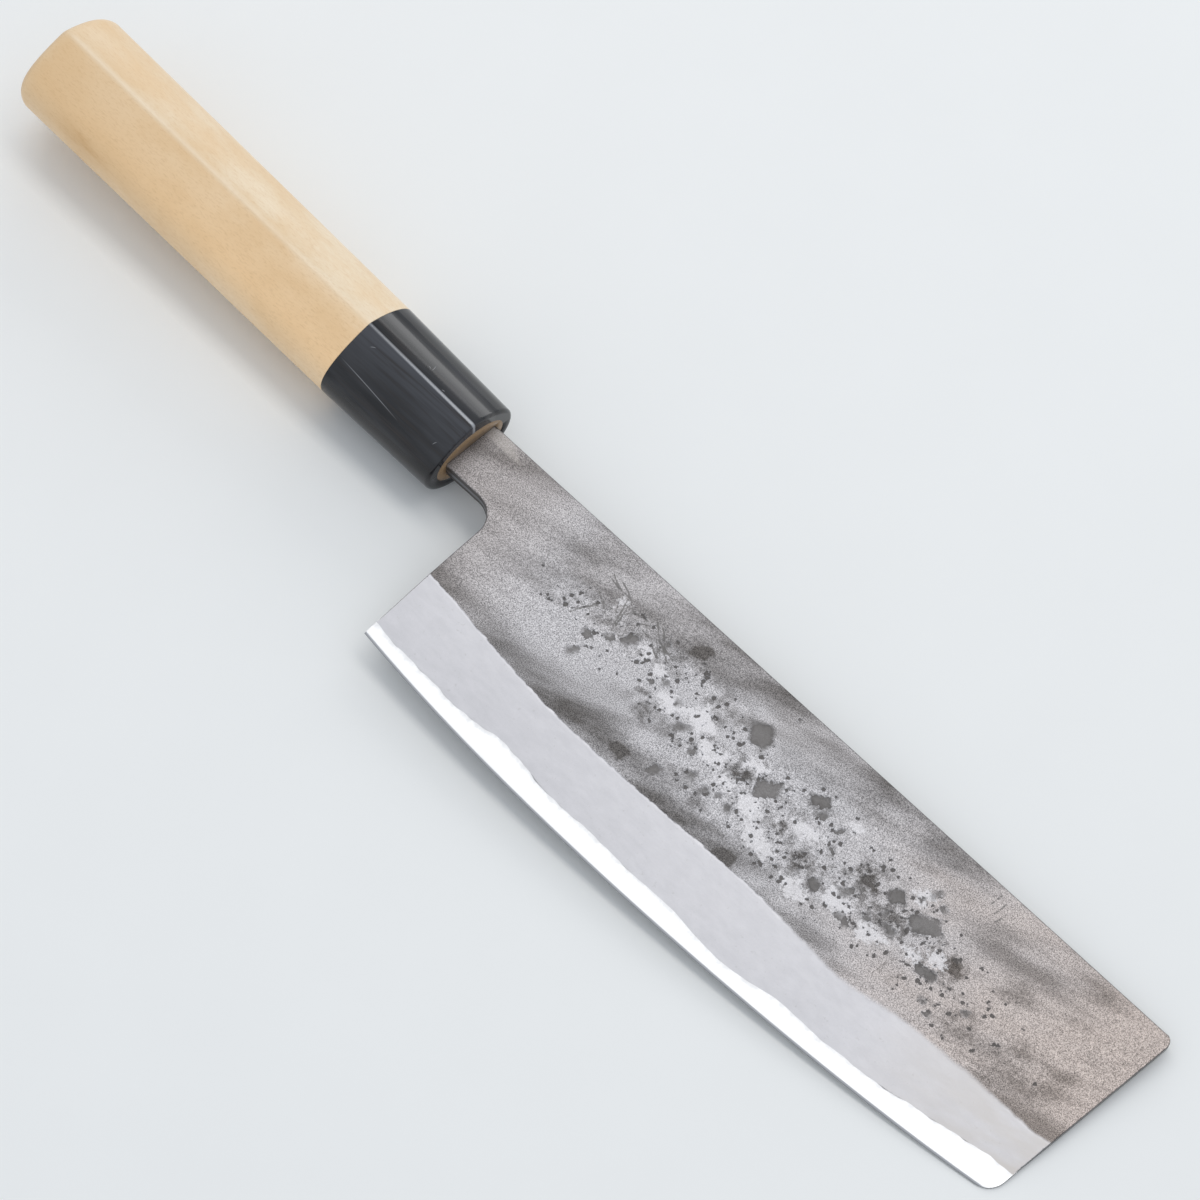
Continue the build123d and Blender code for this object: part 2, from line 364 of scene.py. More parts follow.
def picked(index, choices):
    """One of several vectors, by its number."""
    node = index.tree.nodes.new("GeometryNodeIndexSwitch")
    node.data_type = "VECTOR"
    while len(node.index_switch_items) < len(choices):
        node.index_switch_items.new()
    for number, value in enumerate((index, *choices)):
        fill(node.inputs[number], value)
    return Field(index.tree, node.outputs[0])


SOCKET_KINDS = {
    "Geometry": "NodeSocketGeometry", "Material": "NodeSocketMaterial",
    "Point": "NodeSocketVector",
}


def new_group(name, inputs, output):
    """A node group with its output, and its inputs as fields; most inputs are numbers."""
    tree = bpy.data.node_groups.new(name, "GeometryNodeTree")
    for title, value in inputs:
        kind = SOCKET_KINDS.get(title, "NodeSocketFloat")
        socket = tree.interface.new_socket(title, in_out="INPUT", socket_type=kind)
        if value is not None:
            socket.default_value = value
    tree.interface.new_socket(output, in_out="OUTPUT", socket_type=SOCKET_KINDS[output])
    node = tree.nodes.new("NodeGroupInput")
    return tree, {socket.name: Field(tree, socket) for socket in node.outputs if socket.name}


def finish_group(result, material=None):
    """Gives out a group's result; a mesh is made real and gets its material first."""
    if material:
        real = joined("GeometryNodeRealizeInstances", {0: result})
        result = joined("GeometryNodeSetMaterial", {0: real, "Material": material})
    end = result.tree.nodes.new("NodeGroupOutput")
    fill(end.inputs[0], result)
    return result.tree


# Geometry Nodes: the handle's section, the loft along it, and the forged relief

SECTION_INPUTS = (
    ("Height", 24.0), ("Ridge Radius", 2.0), ("Section Share", 0.8), ("Ridge Place", 0.03),
    ("Ridge Slope", math.radians(13.0)), ("Piece", 0.0), ("Place", 0.0),
)

# Reach of a quarter turn's control points, as a share of its radius
QUARTER_REACH = 0.5523


def section_group():
    """Node group: a point of the chestnut section by its piece and place on the piece.

    Five curved pieces run round the section: two quarters of the oval left side, the
    low facet, the soft ridge and the high facet.
    """
    _, given = new_group("Handle Section", SECTION_INPUTS, "Point")
    height, radius, slope = given["Height"], given["Ridge Radius"], given["Ridge Slope"]
    half = height * 0.5
    thick = half * given["Section Share"]
    ridge = height * given["Ridge Place"]
    sine, cosine = calc("SINE", slope), calc("COSINE", slope)
    run = radius * sine
    crest = radius * (1.0 - cosine) - thick
    top, left, low = vector(half), vector(0.0, thick), vector(-half)
    low_crest, high_crest = vector(ridge - run, crest), vector(ridge + run, crest)
    falling, rising = vector(cosine, -sine), vector(cosine, sine)
    forward, sideways, under = (1.0, 0.0, 0.0), (0.0, 1.0, 0.0), (0.0, -1.0, 0.0)

    def moved(point, direction, length):
        return vector_calc("ADD", point, vector_calc("SCALE", direction, Scale=length))

    def third(first, second):
        return vector_calc("DISTANCE", first, second, output=1) / 3.0

    along, across = half * QUARTER_REACH, thick * QUARTER_REACH
    low_third, high_third = third(low, low_crest), third(high_crest, top)
    arc_reach = calc("TANGENT", slope * 0.5) * radius * (4 / 3)
    pieces = (
        (top, moved(top, sideways, across), moved(left, forward, along), left),
        (left, moved(left, forward, -along), moved(low, sideways, across), low),
        (low, moved(low, under, low_third), moved(low_crest, falling, -low_third), low_crest),
        (low_crest, moved(low_crest, falling, arc_reach), moved(high_crest, rising, -arc_reach),
         high_crest),
        (high_crest, moved(high_crest, rising, high_third), moved(top, under, high_third), top),
    )
    place = given["Place"]
    total = None
    for number, weight in enumerate((1.0, 3.0, 3.0, 1.0)):
        corner = picked(given["Piece"], [piece[number] for piece in pieces])
        share = place ** float(number) * weight * (1.0 - place) ** (3.0 - number)
        term = vector_calc("SCALE", corner, Scale=share)
        total = term if total is None else vector_calc("ADD", total, term)
    return finish_group(total)


LOFT_INPUTS = (
    ("Front Height", 23.3), ("Back Height", 24.8), ("Front Ridge", 3.3), ("Back Ridge", 1.2),
    ("Section Share", 0.8), ("Ridge Place", 0.03), ("Ridge Slope", math.radians(13.0)),
    ("Length", 30.7), ("Front Round", 0.8), ("Back Round", 0.1), ("Tenon Height", 17.8),
    ("Tenon Thickness", 12.4), ("Tenon Length", 0.0), ("Hollow", 1.0), ("Rings", 120.0),
    ("Points per Side", 24.0), ("Wear", 0.02), ("Material", None),
)

# Rings before the body for the tenon's front and foot, and after it for the back
END_RINGS = 3.0


def loft_group(section):
    """Node group: a closed body along the handle, hollow or with a tenon in front.

    A flat grid is rolled up: its columns go round the section and its rings along the
    handle. The first three rings are the tenon's front and foot, the last two close
    the back or run down the bore.
    """
    tree, given = new_group("Handle Loft", LOFT_INPUTS, "Geometry")
    rings, side, length = given["Rings"], given["Points per Side"], given["Length"]
    columns = side * 5.0 + 1.0
    grid = joined("GeometryNodeMeshGrid", {"Size X": 1.0, "Size Y": 1.0, "Vertices X": columns,
                                           "Vertices Y": rings})
    index = added(tree, "GeometryNodeInputIndex")
    column = calc("FLOOR", (index + 0.5) / rings)
    ring = index - column * rings
    turn = calc("MODULO", column, columns - 1.0)
    piece = calc("FLOOR", (turn + 0.5) / side)
    place = (turn - piece * side) / side
    step = ranged((ring - END_RINGS) / (rings - 2 * END_RINGS), 0.0, 1.0)
    share = (1.0 - calc("COSINE", step * math.pi)) * 0.5
    ends = []
    for where in ("Front", "Back"):
        values = {name: given[name] for name in ("Section Share", "Ridge Place", "Ridge Slope")}
        values.update({"Height": given[where + " Height"], "Ridge Radius": given[where + " Ridge"],
                       "Piece": piece, "Place": place})
        ends.append(joined("GeometryNodeGroup", values, node_tree=section))
    outer = joined("ShaderNodeMix", {0: share, 4: ends[0], 5: ends[1]}, 1, data_type="VECTOR")
    depth = share * length
    reach = vector_calc("LENGTH", outer, output=1)
    inset = 0.0
    for radius, gap in ((given["Front Round"], depth), (given["Back Round"], length - depth)):
        over = calc("MAXIMUM", radius - gap, 0.0)
        square = calc("MAXIMUM", radius * radius - over * over, 0.0)
        inset = calc("ADD", inset, radius - calc("SQRT", square))
    middle = vector(0.0, 0.0, depth)
    spot = vector_calc("ADD", outer, middle)
    inset += noise(vector_calc("MULTIPLY", spot, (0.09, 0.09, 0.03)), 1.0) * given["Wear"]
    outer = vector_calc("ADD", vector_calc("SCALE", outer, Scale=1.0 - inset / reach), middle)
    up, left, _ = split(outer)
    angle = calc("ARCTAN2", left, up)
    tall = given["Tenon Height"] * 0.5 * calc("COSINE", angle)
    wide = given["Tenon Thickness"] * 0.5 * calc("SINE", angle)
    hollow, tip = given["Hollow"], -given["Tenon Length"]
    before = ((hollow, tip), (1.0, tip), (1.0, 0.0))
    after = ((hollow, length), (hollow, length * (1.0 - hollow)))
    points = [vector(tall * size, wide * size, deep) for size, deep in before + after]
    points.insert(len(before), outer)
    late = calc("MAXIMUM", ring - (rings - END_RINGS), 0.0)
    position = picked(calc("MINIMUM", ring, END_RINGS) + late, points)
    moved = joined("GeometryNodeSetPosition", {"Geometry": grid, "Position": position})
    merged = joined("GeometryNodeMergeByDistance", {0: moved, "Distance": 0.0005})
    smooth = joined("GeometryNodeSetShadeSmooth", {0: merged})
    return finish_group(smooth, given["Material"])


RELIEF_INPUTS = (
    ("Geometry", None), ("Side", 1.0), ("Hammer Depth", 0.035), ("Hammer Size", 9.0),
    ("Blotch Depth", 0.03), ("Pit Density", 0.8), ("Pit Radius", 0.4), ("Pit Depth", 0.035),
    ("Seed", 7.0), ("Material", None),
)

# Half widths of the slopes at the rims of blotches and pits
BLOTCH_SLOPE = 0.35
PIT_SLOPE = 0.2


def relief_group():
    """Node group: the forged side's hammer hollows, flat blotches and scattered pits.

    It only ever cuts in. The field of the scattered pits goes on in the attribute
    "pits": distance outside the nearest pit's rim, in millimetres.
    """
    tree, given = new_group("Forged Relief", RELIEF_INPUTS, "Geometry")
    mesh, radius = given["Geometry"], given["Pit Radius"]

    def named(name):
        return added(tree, "GeometryNodeInputNamedAttribute", {"Name": name}, data_type="FLOAT")

    def stored(geometry, name, value):
        values = {"Geometry": geometry, "Name": name, "Value": value}
        return joined("GeometryNodeStoreNamedAttribute", values, data_type="FLOAT", domain="POINT")

    thickly = named("relief_share") * named("band") * given["Pit Density"]
    points = joined("GeometryNodeDistributePointsOnFaces",
                    {"Mesh": mesh, "Density": thickly, "Seed": given["Seed"]}, "Points")
    luck = added(tree, "FunctionNodeRandomValue", {"Min": 0.0, "Max": 1.0, "Seed": 3}, "Value",
                 data_type="FLOAT")
    points = stored(points, "radius", luck ** 2.5 * radius + radius * 0.28)
    spot = added(tree, "GeometryNodeInputPosition")
    bend = vector_calc("SUBTRACT", noise(spot, 1.3, output=1), (0.5, 0.5, 0.5))
    bent = vector_calc("ADD", spot, vector_calc("SCALE", bend, Scale=0.9))
    near = joined("GeometryNodeSampleNearest", {"Geometry": points, "Sample Position": bent},
                  domain="POINT")

    def sampled(value, kind):
        values = {"Geometry": points, "Value": value, "Index": near}
        return joined("GeometryNodeSampleIndex", values, data_type=kind, domain="POINT")

    home = sampled(added(tree, "GeometryNodeInputPosition"), "FLOAT_VECTOR")
    rim = sampled(named("radius"), "FLOAT")
    marked = stored(mesh, "pits", vector_calc("DISTANCE", bent, home, output=1) - rim)
    long_spot = vector_calc("MULTIPLY", spot, (0.6, 1.0, 1.0))
    hammer_place = vector_calc("SCALE", long_spot, Scale=1.0 / given["Hammer Size"])
    cut = noise(hammer_place, 1.0, 1.5, 0.4) * given["Hammer Depth"]
    cut += ranged(named("blotch"), BLOTCH_SLOPE, -BLOTCH_SLOPE, smooth=True) * given["Blotch Depth"]
    cut += ranged(named("pits"), PIT_SLOPE, -PIT_SLOPE, smooth=True) * given["Pit Depth"]
    drop = vector(0.0, 0.0, -(cut * named("relief_share")) * given["Side"])
    moved = joined("GeometryNodeSetPosition", {"Geometry": marked, "Offset": drop})
    return finish_group(moved, given["Material"])


# Meshes and objects


def linked(name, data):
    """A new object in the scene."""
    thing = bpy.data.objects.new(name, data)
    bpy.context.scene.collection.objects.link(thing)
    return thing


def plain_mesh(thing):
    """An object's evaluated mesh as a plain mesh; the object goes, with its modifiers."""
    bpy.context.view_layer.update()
    depsgraph = bpy.context.evaluated_depsgraph_get()
    made = bpy.data.meshes.new_from_object(thing.evaluated_get(depsgraph))
    thing.modifiers.clear()
    bpy.data.objects.remove(thing)
    return made


def turn_outwards(mesh, merge=0.0):
    """Joins vertices closer than the merge gap, if there is one, and turns faces outwards."""
    work = bmesh.new()
    work.from_mesh(mesh)
    if merge:
        bmesh.ops.remove_doubles(work, verts=work.verts, dist=merge)
    bmesh.ops.recalc_face_normals(work, faces=work.faces)
    work.to_mesh(mesh)
    work.free()


def vertex_places(mesh):
    """The vertices' places, one row each."""
    places = np.empty(len(mesh.vertices) * 3)
    mesh.vertices.foreach_get("co", places)
    return places.reshape(-1, 3)


def grown(name, mesh, group, values, material):
    """Runs a node group on a mesh and returns its result as a plain mesh."""
    carrier = linked(name + "_base", mesh)
    modifier = carrier.modifiers.new("Shape", "NODES")
    modifier.node_group = group
    sockets = {item.name: item.identifier for item in group.interface.items_tree
               if item.item_type == "SOCKET" and item.in_out == "INPUT"}
    for key, value in dict(values, Material=material).items():
        modifier[sockets[key]] = value
    return plain_mesh(carrier)


def finish_piece(name, mesh, node, turn=Matrix()):
    """Turns a mesh from its own axes into the row frame and makes it the node's stand-in."""
    mesh.transform(turn)
    stored = mesh.attributes.new("knife", "FLOAT_VECTOR", "POINT")
    stored.data.foreach_set("vector", vertex_places(mesh).astype(np.float32).ravel())
    mesh.transform(knife_matrix())
    turn_outwards(mesh)
    mesh.name = name
    piece = linked(name, mesh)
    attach(piece, "root")
    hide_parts(node)
    return piece


# The blade's shape


def curve_through(points):
    """A smooth function through points given by place: a cubic between each pair."""
    x, y = np.array(points, float).T
    slope = np.gradient(y, x)

    def at(place):
        place = np.clip(np.asarray(place, float), x[0], x[-1])
        index = np.clip(np.searchsorted(x, place) - 1, 0, len(x) - 2)
        width = x[index + 1] - x[index]
        t = (place - x[index]) / width
        return (
            (1 + 2 * t) * (1 - t) ** 2 * y[index] + t * (1 - t) ** 2 * width * slope[index]
            + t * t * (3 - 2 * t) * y[index + 1] - t * t * (1 - t) * width * slope[index + 1]
        )

    return at


def edge_points():
    """The points that the cutting edge passes through, from the heel to the nose."""
    run = NOSE_X - HEEL_X - NOSE_LEAN
    points = [(HEEL_X, SPINE_Y - HEEL_HEIGHT)]
    for place, belly in EDGE_SHARES:
        chord = HEEL_HEIGHT + (NOSE_HEIGHT - HEEL_HEIGHT) * place
        depth = chord + (BELLY_HEIGHT - (HEEL_HEIGHT + NOSE_HEIGHT) / 2) * belly
        points.append((HEEL_X + run * place, SPINE_Y - depth))
    points.append((HEEL_X + run, SPINE_Y - NOSE_HEIGHT))
    return points


def edge_y(x):
    """The cutting edge's height: the curve through its points."""
    points = edge_points()
    total = np.zeros_like(np.asarray(x, float))
    for here, low in points:
        weight = 1.0
        for other, _ in points:
            if other != here:
                weight = weight * (x - other) / (here - other)
        total = total + weight * low
    return total


def thickness(x):
    """The blade's thickness at the spine."""
    places, sizes = zip(*THICKNESS)
    return np.interp(x, places, sizes)


bevel_below = curve_through(BEVEL_LINE)
lamination_below = curve_through(LAMINATION_LINE)


def bevel_y(x, side):
    """Height of the bevel's upper line; the left side's waves lie elsewhere."""
    if side > 0:
        return SPINE_Y - bevel_below(x)
    return SPINE_Y - 34.8 - 0.9 * np.sin(x / 17.0 + 1.0) - 0.5 * np.sin(x / 6.3)


def lamination_y(x, side):
    """Height of the line where the jacket gives way to the hard core."""
    x = np.asarray(x, float)
    if side > 0:
        main = SPINE_Y - lamination_below(x)
        swell = 0.6 + 0.4 * np.sin(x / 23.0)
        ripple = 0.12 * np.sin(x / 1.31 + 2.0) + 0.06 * np.sin(x / 0.57)
        fine = 0.2 * np.sin(x / 3.7) + swell * ripple
    else:
        main = edge_y(np.minimum(x, EDGE_END)) + 4.2 + 0.8 * np.sin(x / 11.0)
        fine = 0.2 * np.sin(x / 3.3 + 0.7) + 0.1 * np.sin(x / 1.2)
    return main + fine


def lamination_places(side):
    """Places along the lamination line, shared by the jacket and the core."""
    meet = float(lamination_y(EDGE_END, side))
    last = NOSE_X - (SPINE_Y - meet) * NOSE_LEAN / NOSE_HEIGHT
    return np.append(np.arange(HEEL_X, last - 0.15, LINE_STEP), last)


def side_z(x, y, side):
    """Half thickness at a place: the flat side, the bevel below it and the fine lip."""
    half = thickness(x) / 2
    low = edge_y(np.clip(x, HEEL_X, EDGE_END))
    line = bevel_y(np.maximum(x, HEEL_X), side)
    flat_share = np.clip((SPINE_Y - y) / (SPINE_Y - line), 0, 1)
    flat = half * (1 - (1 - BEVEL_LINE_SHARE) * flat_share)
    bevel_share = np.clip((line - y) / (line - low), 0, 1)
    bevel = half * BEVEL_LINE_SHARE * (1 - bevel_share) + FOOT_HALF * bevel_share
    lip = np.clip((y - low) / LIP_HEIGHT, 0, 1)
    z = np.where(y > line, flat, bevel)
    ground = (x > HEEL_X - 0.5) & (y < low + LIP_HEIGHT)
    return np.where(ground, z * (LIP_SHARE + (1 - LIP_SHARE) * lip), z)


def arc(centre, radius, first, last, count):
    """Points round an arc, from one angle to another, in degrees."""
    angles = np.radians(np.linspace(first, last, count))
    return [(centre[0] + radius * math.cos(a), centre[1] + radius * math.sin(a)) for a in angles]


def line(start, end, step):
    """Points from start to just before end."""
    count = max(1, round(math.dist(start, end) / step))
    return [(start[0] + (end[0] - start[0]) * i / count, start[1] + (end[1] - start[1]) * i / count)
            for i in range(count)]


def corner_round(corner, before, after, radius, count=12):
    """Points round a corner between the points before and after it."""
    corner = Vector(corner)
    a, b = (Vector(before) - corner).normalized(), (Vector(after) - corner).normalized()
    half = a.angle(b) / 2
    centre = corner + (a + b).normalized() * (radius / math.sin(half))
    start = corner + a * (radius / math.tan(half)) - centre
    end = corner + b * (radius / math.tan(half)) - centre
    turn = start.angle_signed(end)
    points = []
    for i in range(count + 1):
        spun = start.copy()
        spun.rotate(Matrix.Rotation(-turn * i / count, 2))
        points.append(tuple(centre + spun))
    return points


def outline(side, whole):
    """The blade's outline from the neck round by the heel, low line, nose and spine.

    The whole outline goes down to the edge; the other stops at the lamination line.
    """
    neck_y = SPINE_Y - NECK_HEIGHT
    tilt = math.tan(math.radians(HANDLE_TILT))

    def low(x):
        return edge_y(x) if whole else lamination_y(x, side)

    def front(y):
        return y * tilt

    tip = handle_matrix() @ Vector((0, 0, TANG_LENGTH))
    end = TANG_END_HEIGHT / 2
    low_shoulder, high_shoulder = neck_y + TANG_SHOULDER, SPINE_Y - TANG_SHOULDER
    points = [(tip.x, tip.y + end), (tip.x, tip.y - end), (front(low_shoulder), low_shoulder)]
    points += line((front(neck_y), neck_y), (HEEL_X - CHOIL_RADIUS, neck_y), 0.8)
    choil = (HEEL_X - CHOIL_RADIUS, neck_y - CHOIL_RADIUS)
    points += arc(choil, CHOIL_RADIUS, 90, 0, 14)
    heel = (HEEL_X, float(low(HEEL_X)))
    points += line((HEEL_X, choil[1]), heel, 0.5)[1:]
    nose_low = (EDGE_END, SPINE_Y - NOSE_HEIGHT)
    nose_top = (NOSE_X, SPINE_Y)
    if whole:
        before = (nose_low[0] - 4, float(edge_y(nose_low[0] - 4)))
        rounded = corner_round(nose_low, before, nose_top, NOSE_LOW_RADIUS)
        xs = np.arange(HEEL_X, rounded[0][0] - 0.2, 0.4)
        points += [(float(x), float(low(x))) for x in xs] + rounded
    else:
        points += [(float(x), float(low(x))) for x in lamination_places(side)]
    top = corner_round(nose_top, nose_low, (0, SPINE_Y), NOSE_TOP_RADIUS)
    points += line(points[-1], top[0], 0.5)[1:] + top
    points += line(top[-1], (front(SPINE_Y), SPINE_Y), 0.5)[1:]
    points += [(front(SPINE_Y), SPINE_Y), (front(high_shoulder), high_shoulder)]
    return np.array(points)


def inset_points(points, gap):
    """The outline moved inwards by a gap, for the small bevel round the sides."""
    before, after = np.roll(points, 1, 0), np.roll(points, -1, 0)
    run = after - before
    normal = np.stack([-run[:, 1], run[:, 0]], 1)
    normal /= np.maximum(np.linalg.norm(normal, axis=1), 1e-9)[:, None]
    return points + normal * gap


def inside(points, polygon):
    """Which points lie inside a polygon."""
    x, y = points[:, 0], points[:, 1]
    result = np.zeros(len(points), bool)
    for (x0, y0), (x1, y1) in zip(polygon, np.roll(polygon, -1, 0)):
        crosses = (y0 > y) != (y1 > y)
        if y1 != y0:
            at = x0 + (y - y0) * (x1 - x0) / (y1 - y0)
            result ^= crosses & (x < at)
    return result


def paired(xs, ys):
    """Points from places along the blade and their heights, or one height for all."""
    return np.stack([xs, np.broadcast_to(ys, xs.shape)], 1)


def grid_points(x0, x1, y0, y1, step):
    """A grid with every second row set off by half a step."""
    rows = np.arange(y0, y1, step * 0.87)
    points = []
    for number, y in enumerate(rows):
        points.append(paired(np.arange(x0 + (number % 2) * step / 2, x1, step), y))
    return np.concatenate(points)


def filled(boundary, loose):
    """Triangles that fill a boundary and use the loose points inside it."""
    count = len(boundary)
    edges = [(i, (i + 1) % count) for i in range(count)]
    points = [Vector(p) for p in np.concatenate([boundary, loose])]
    found, _, faces, _, _, _ = delaunay_2d_cdt(points, edges, [], 1, 1e-6)
    return np.array([tuple(p) for p in found]), [tuple(face) for face in faces]


def joined_sides(name, boundary, loose, outer_z, inner_z, both_dense=False):
    """A closed mesh between two height fields over one boundary.

    The first side has the loose points too; the second has them only if both sides
    are dense, and else the boundary's points alone.
    """
    top, top_faces = filled(boundary, loose)
    low, low_faces = filled(boundary, loose if both_dense else np.zeros((0, 2)))
    count = len(boundary)
    upper = [(x, y, z) for (x, y), z in zip(top, outer_z(top[:, 0], top[:, 1]))]
    lower = [(x, y, z) for (x, y), z in zip(low, inner_z(low[:, 0], low[:, 1]))]
    shift = len(upper)
    faces = top_faces + [tuple(shift + i for i in reversed(face)) for face in low_faces]
    for i in range(count):
        j = (i + 1) % count
        faces.append((i, shift + i, shift + j, j))
    mesh = bpy.data.meshes.new(name)
    mesh.from_pydata(upper + lower, [], faces)
    turn_outwards(mesh, merge=MERGE_GAP)
    return mesh


def chip_gap(x, y, mark):
    """Distance outside one angular chip, an uneven polygon round an ellipse."""
    cx, cy, length, width, turn = mark[:5]
    sides = 5 + round(cx + cy) % 3
    gap = np.full(len(x), -FAR)
    for number in range(sides):
        angle = 2 * math.pi * (number + 0.3 * math.sin(cx * (number + 1))) / sides
        reach = math.hypot(length * math.cos(angle), width * math.sin(angle)) / 2
        reach *= 0.84 + 0.16 * math.sin(cx * 1.7 + number * 2.3 + cy)
        angle += math.radians(turn)
        gap = np.maximum(gap, (x - cx) * math.cos(angle) + (y - cy) * math.sin(angle) - reach)
    return gap


def chip_field(x, y, marks):
    """Distance outside the nearest chip."""
    best = np.full(len(x), FAR)
    for mark in marks:
        best = np.minimum(best, chip_gap(x, y, mark))
    return best


def shade_field(x, y, marks):
    """Darkness of the soft blotches: 1 in the middle, fading out past the rim."""
    best = np.zeros(len(x))
    for mark in marks:
        dark = np.clip(0.6 - chip_gap(x, y, mark) / (0.4 + 1.8 * mark[5]), 0, 1)
        best = np.maximum(best, dark if mark[5] < STROKE_FROM else STROKE_WEIGHT * dark)
    return best


def scratch_field(x, y):
    """Distance from the nearest scratch."""
    best = np.full(len(x), FAR)
    for x0, y0, x1, y1 in SCRATCHES:
        dx, dy = x1 - x0, y1 - y0
        t = np.clip(((x - x0) * dx + (y - y0) * dy) / (dx * dx + dy * dy), 0, 1)
        bow = 0.35 * np.sin(t * math.pi) * math.sin(x0 * 7 + y0)
        gap = np.hypot(x - x0 - t * dx + bow * dy / math.hypot(dx, dy),
                       y - y0 - t * dy - bow * dx / math.hypot(dx, dy))
        best = np.minimum(best, gap + 0.1 * np.abs(2 * t - 1) ** 3)
    return best


def band_density(x, y):
    """How thickly marks lie in the slanting band along the blade's right side."""
    middle = np.interp(x, (38, 60, 90, 120, 150, 168), (-9, -9, -14, -14, -16, -18))
    wide = np.interp(x, (30, 45, 70, 100, 130, 150, 170), (3, 6, 8, 9, 9, 7, 3))
    strong = np.interp(x, (26, 40, 75, 140, 156, 175), (0.0, 0.45, 1.0, 1.0, 0.35, 0.0))
    return strong * np.clip(1.4 - np.abs(y - middle) / wide, 0, 1)


def store(mesh, name, values):
    """Stores one number for each vertex."""
    stored = mesh.attributes.new(name, "FLOAT", "POINT")
    stored.data.foreach_set("value", values.astype(np.float32))


def seam_z(x, side):
    """Half thickness of the core inside the jackets."""
    along = np.clip(x, HEEL_X, EDGE_END + 0.5)
    return side_z(along, lamination_y(along, side), side)


def cladding_points(side):
    """Loose points of a jacket's outer side: pear skin, scratches, bevel and spine rows."""
    low = bevel_y(98.0, side)
    skin_step = SKIN_STEP if side > 0 else 1.4 * SKIN_STEP
    skin = grid_points(0.5, NOSE_X, low - 5, SPINE_Y - 0.6, skin_step)
    skin = skin[skin[:, 1] > bevel_y(skin[:, 0], side) - 0.8]
    loose = []
    if side > 0:
        x0, x1, y0, y1 = SCRATCHED_ZONE
        x, y = skin.T
        skin = skin[~((x > x0) & (x < x1) & (y > y0) & (y < y1))]
        loose.append(grid_points(x0, x1, y0, y1, SCRATCH_STEP))
    plain = grid_points(HEEL_X, NOSE_X, -45, low + 3, PLAIN_STEP)
    loose.append(plain[plain[:, 1] < bevel_y(plain[:, 0], side) - 1.0])
    xs = np.arange(HEEL_X + 0.3, NOSE_X - 2.0, 0.4)
    loose.append(paired(xs, bevel_y(xs, side)))
    xs = np.arange(1.0, NOSE_X - 1.5, 0.5)
    for depth in SPINE_ROWS:
        loose.append(paired(xs, SPINE_Y - depth))
    return np.concatenate([skin] + loose)


def cladding_mesh(side):
    """One soft jacket: its dense outer side, its plain inner side and the walls between."""
    boundary = outline(side, whole=False)
    x, y = boundary.T
    over_seam = y - lamination_y(np.clip(x, HEEL_X, NOSE_X), side)
    on_rim = (x > 0.4) & (y < SPINE_Y - 0.3) & ((over_seam > 0.3) | (x < HEEL_X - 0.2))
    loose = cladding_points(side)
    loose = loose[inside(loose, inset_points(boundary, RIM_MARGIN))]
    loose = np.concatenate([inset_points(boundary, RIM_WIDTH)[on_rim], loose])

    def outer(x, y):
        z = side_z(x, y, side)
        near = np.clip((y - (SPINE_Y - SPINE_ROUND)) / SPINE_ROUND, 0, 1)
        z = np.where(x > 0, z - SPINE_ROUND * (1 - np.sqrt(1 - near * near)), z)
        rim = np.zeros(len(x), bool)
        rim[:len(boundary)] = on_rim
        return side * np.where(rim, z - RIM_DROP, z)

    def inner(x, y):
        return side * seam_z(x, side)

    mesh = joined_sides("cladding", boundary, loose, outer, inner)
    x, y, z = vertex_places(mesh).T
    on_side = np.abs(z) > 0.8 * side_z(x, y, side)
    over_line = y - bevel_y(np.maximum(x, HEEL_X), side)
    above = np.clip(over_line / 0.8 + 0.5, 0, 1)
    front = np.clip((x - 0.5) / 3, 0, 1)
    top = np.clip((SPINE_Y - 0.3 - y) / 0.4, 0, 1)
    store(mesh, "skin", np.clip(over_line, -4, 12))
    # Painted shade: 1 off the outer side, so the walls are darkened in the material
    store(mesh, "painted_wall_shade", 1.0 * (np.abs(z) < side_z(x, y, side) - 0.06))
    store(mesh, "relief_share", above * on_side * front * top)
    if side > 0:
        cut = [mark for mark in BLOTCHES if mark[5] < CUT_BELOW]
        shading = [mark for mark in BLOTCHES if mark[5] > SHADE_ABOVE]
        store(mesh, "blotch", chip_field(x, y, cut))
        store(mesh, "shade", shade_field(x, y, shading))
        store(mesh, "bright", chip_field(x, y, BRIGHT))
        store(mesh, "scratch", scratch_field(x, y))
        store(mesh, "band", band_density(x, y))
    else:
        for name in ("blotch", "bright", "scratch"):
            store(mesh, name, np.full(len(x), FAR))
        store(mesh, "shade", np.zeros(len(x)))
        store(mesh, "band", 0.3 * np.clip(1 - np.abs(y + 12 + 6 * np.sin(x / 30)) / 9, 0, 1))
    return mesh


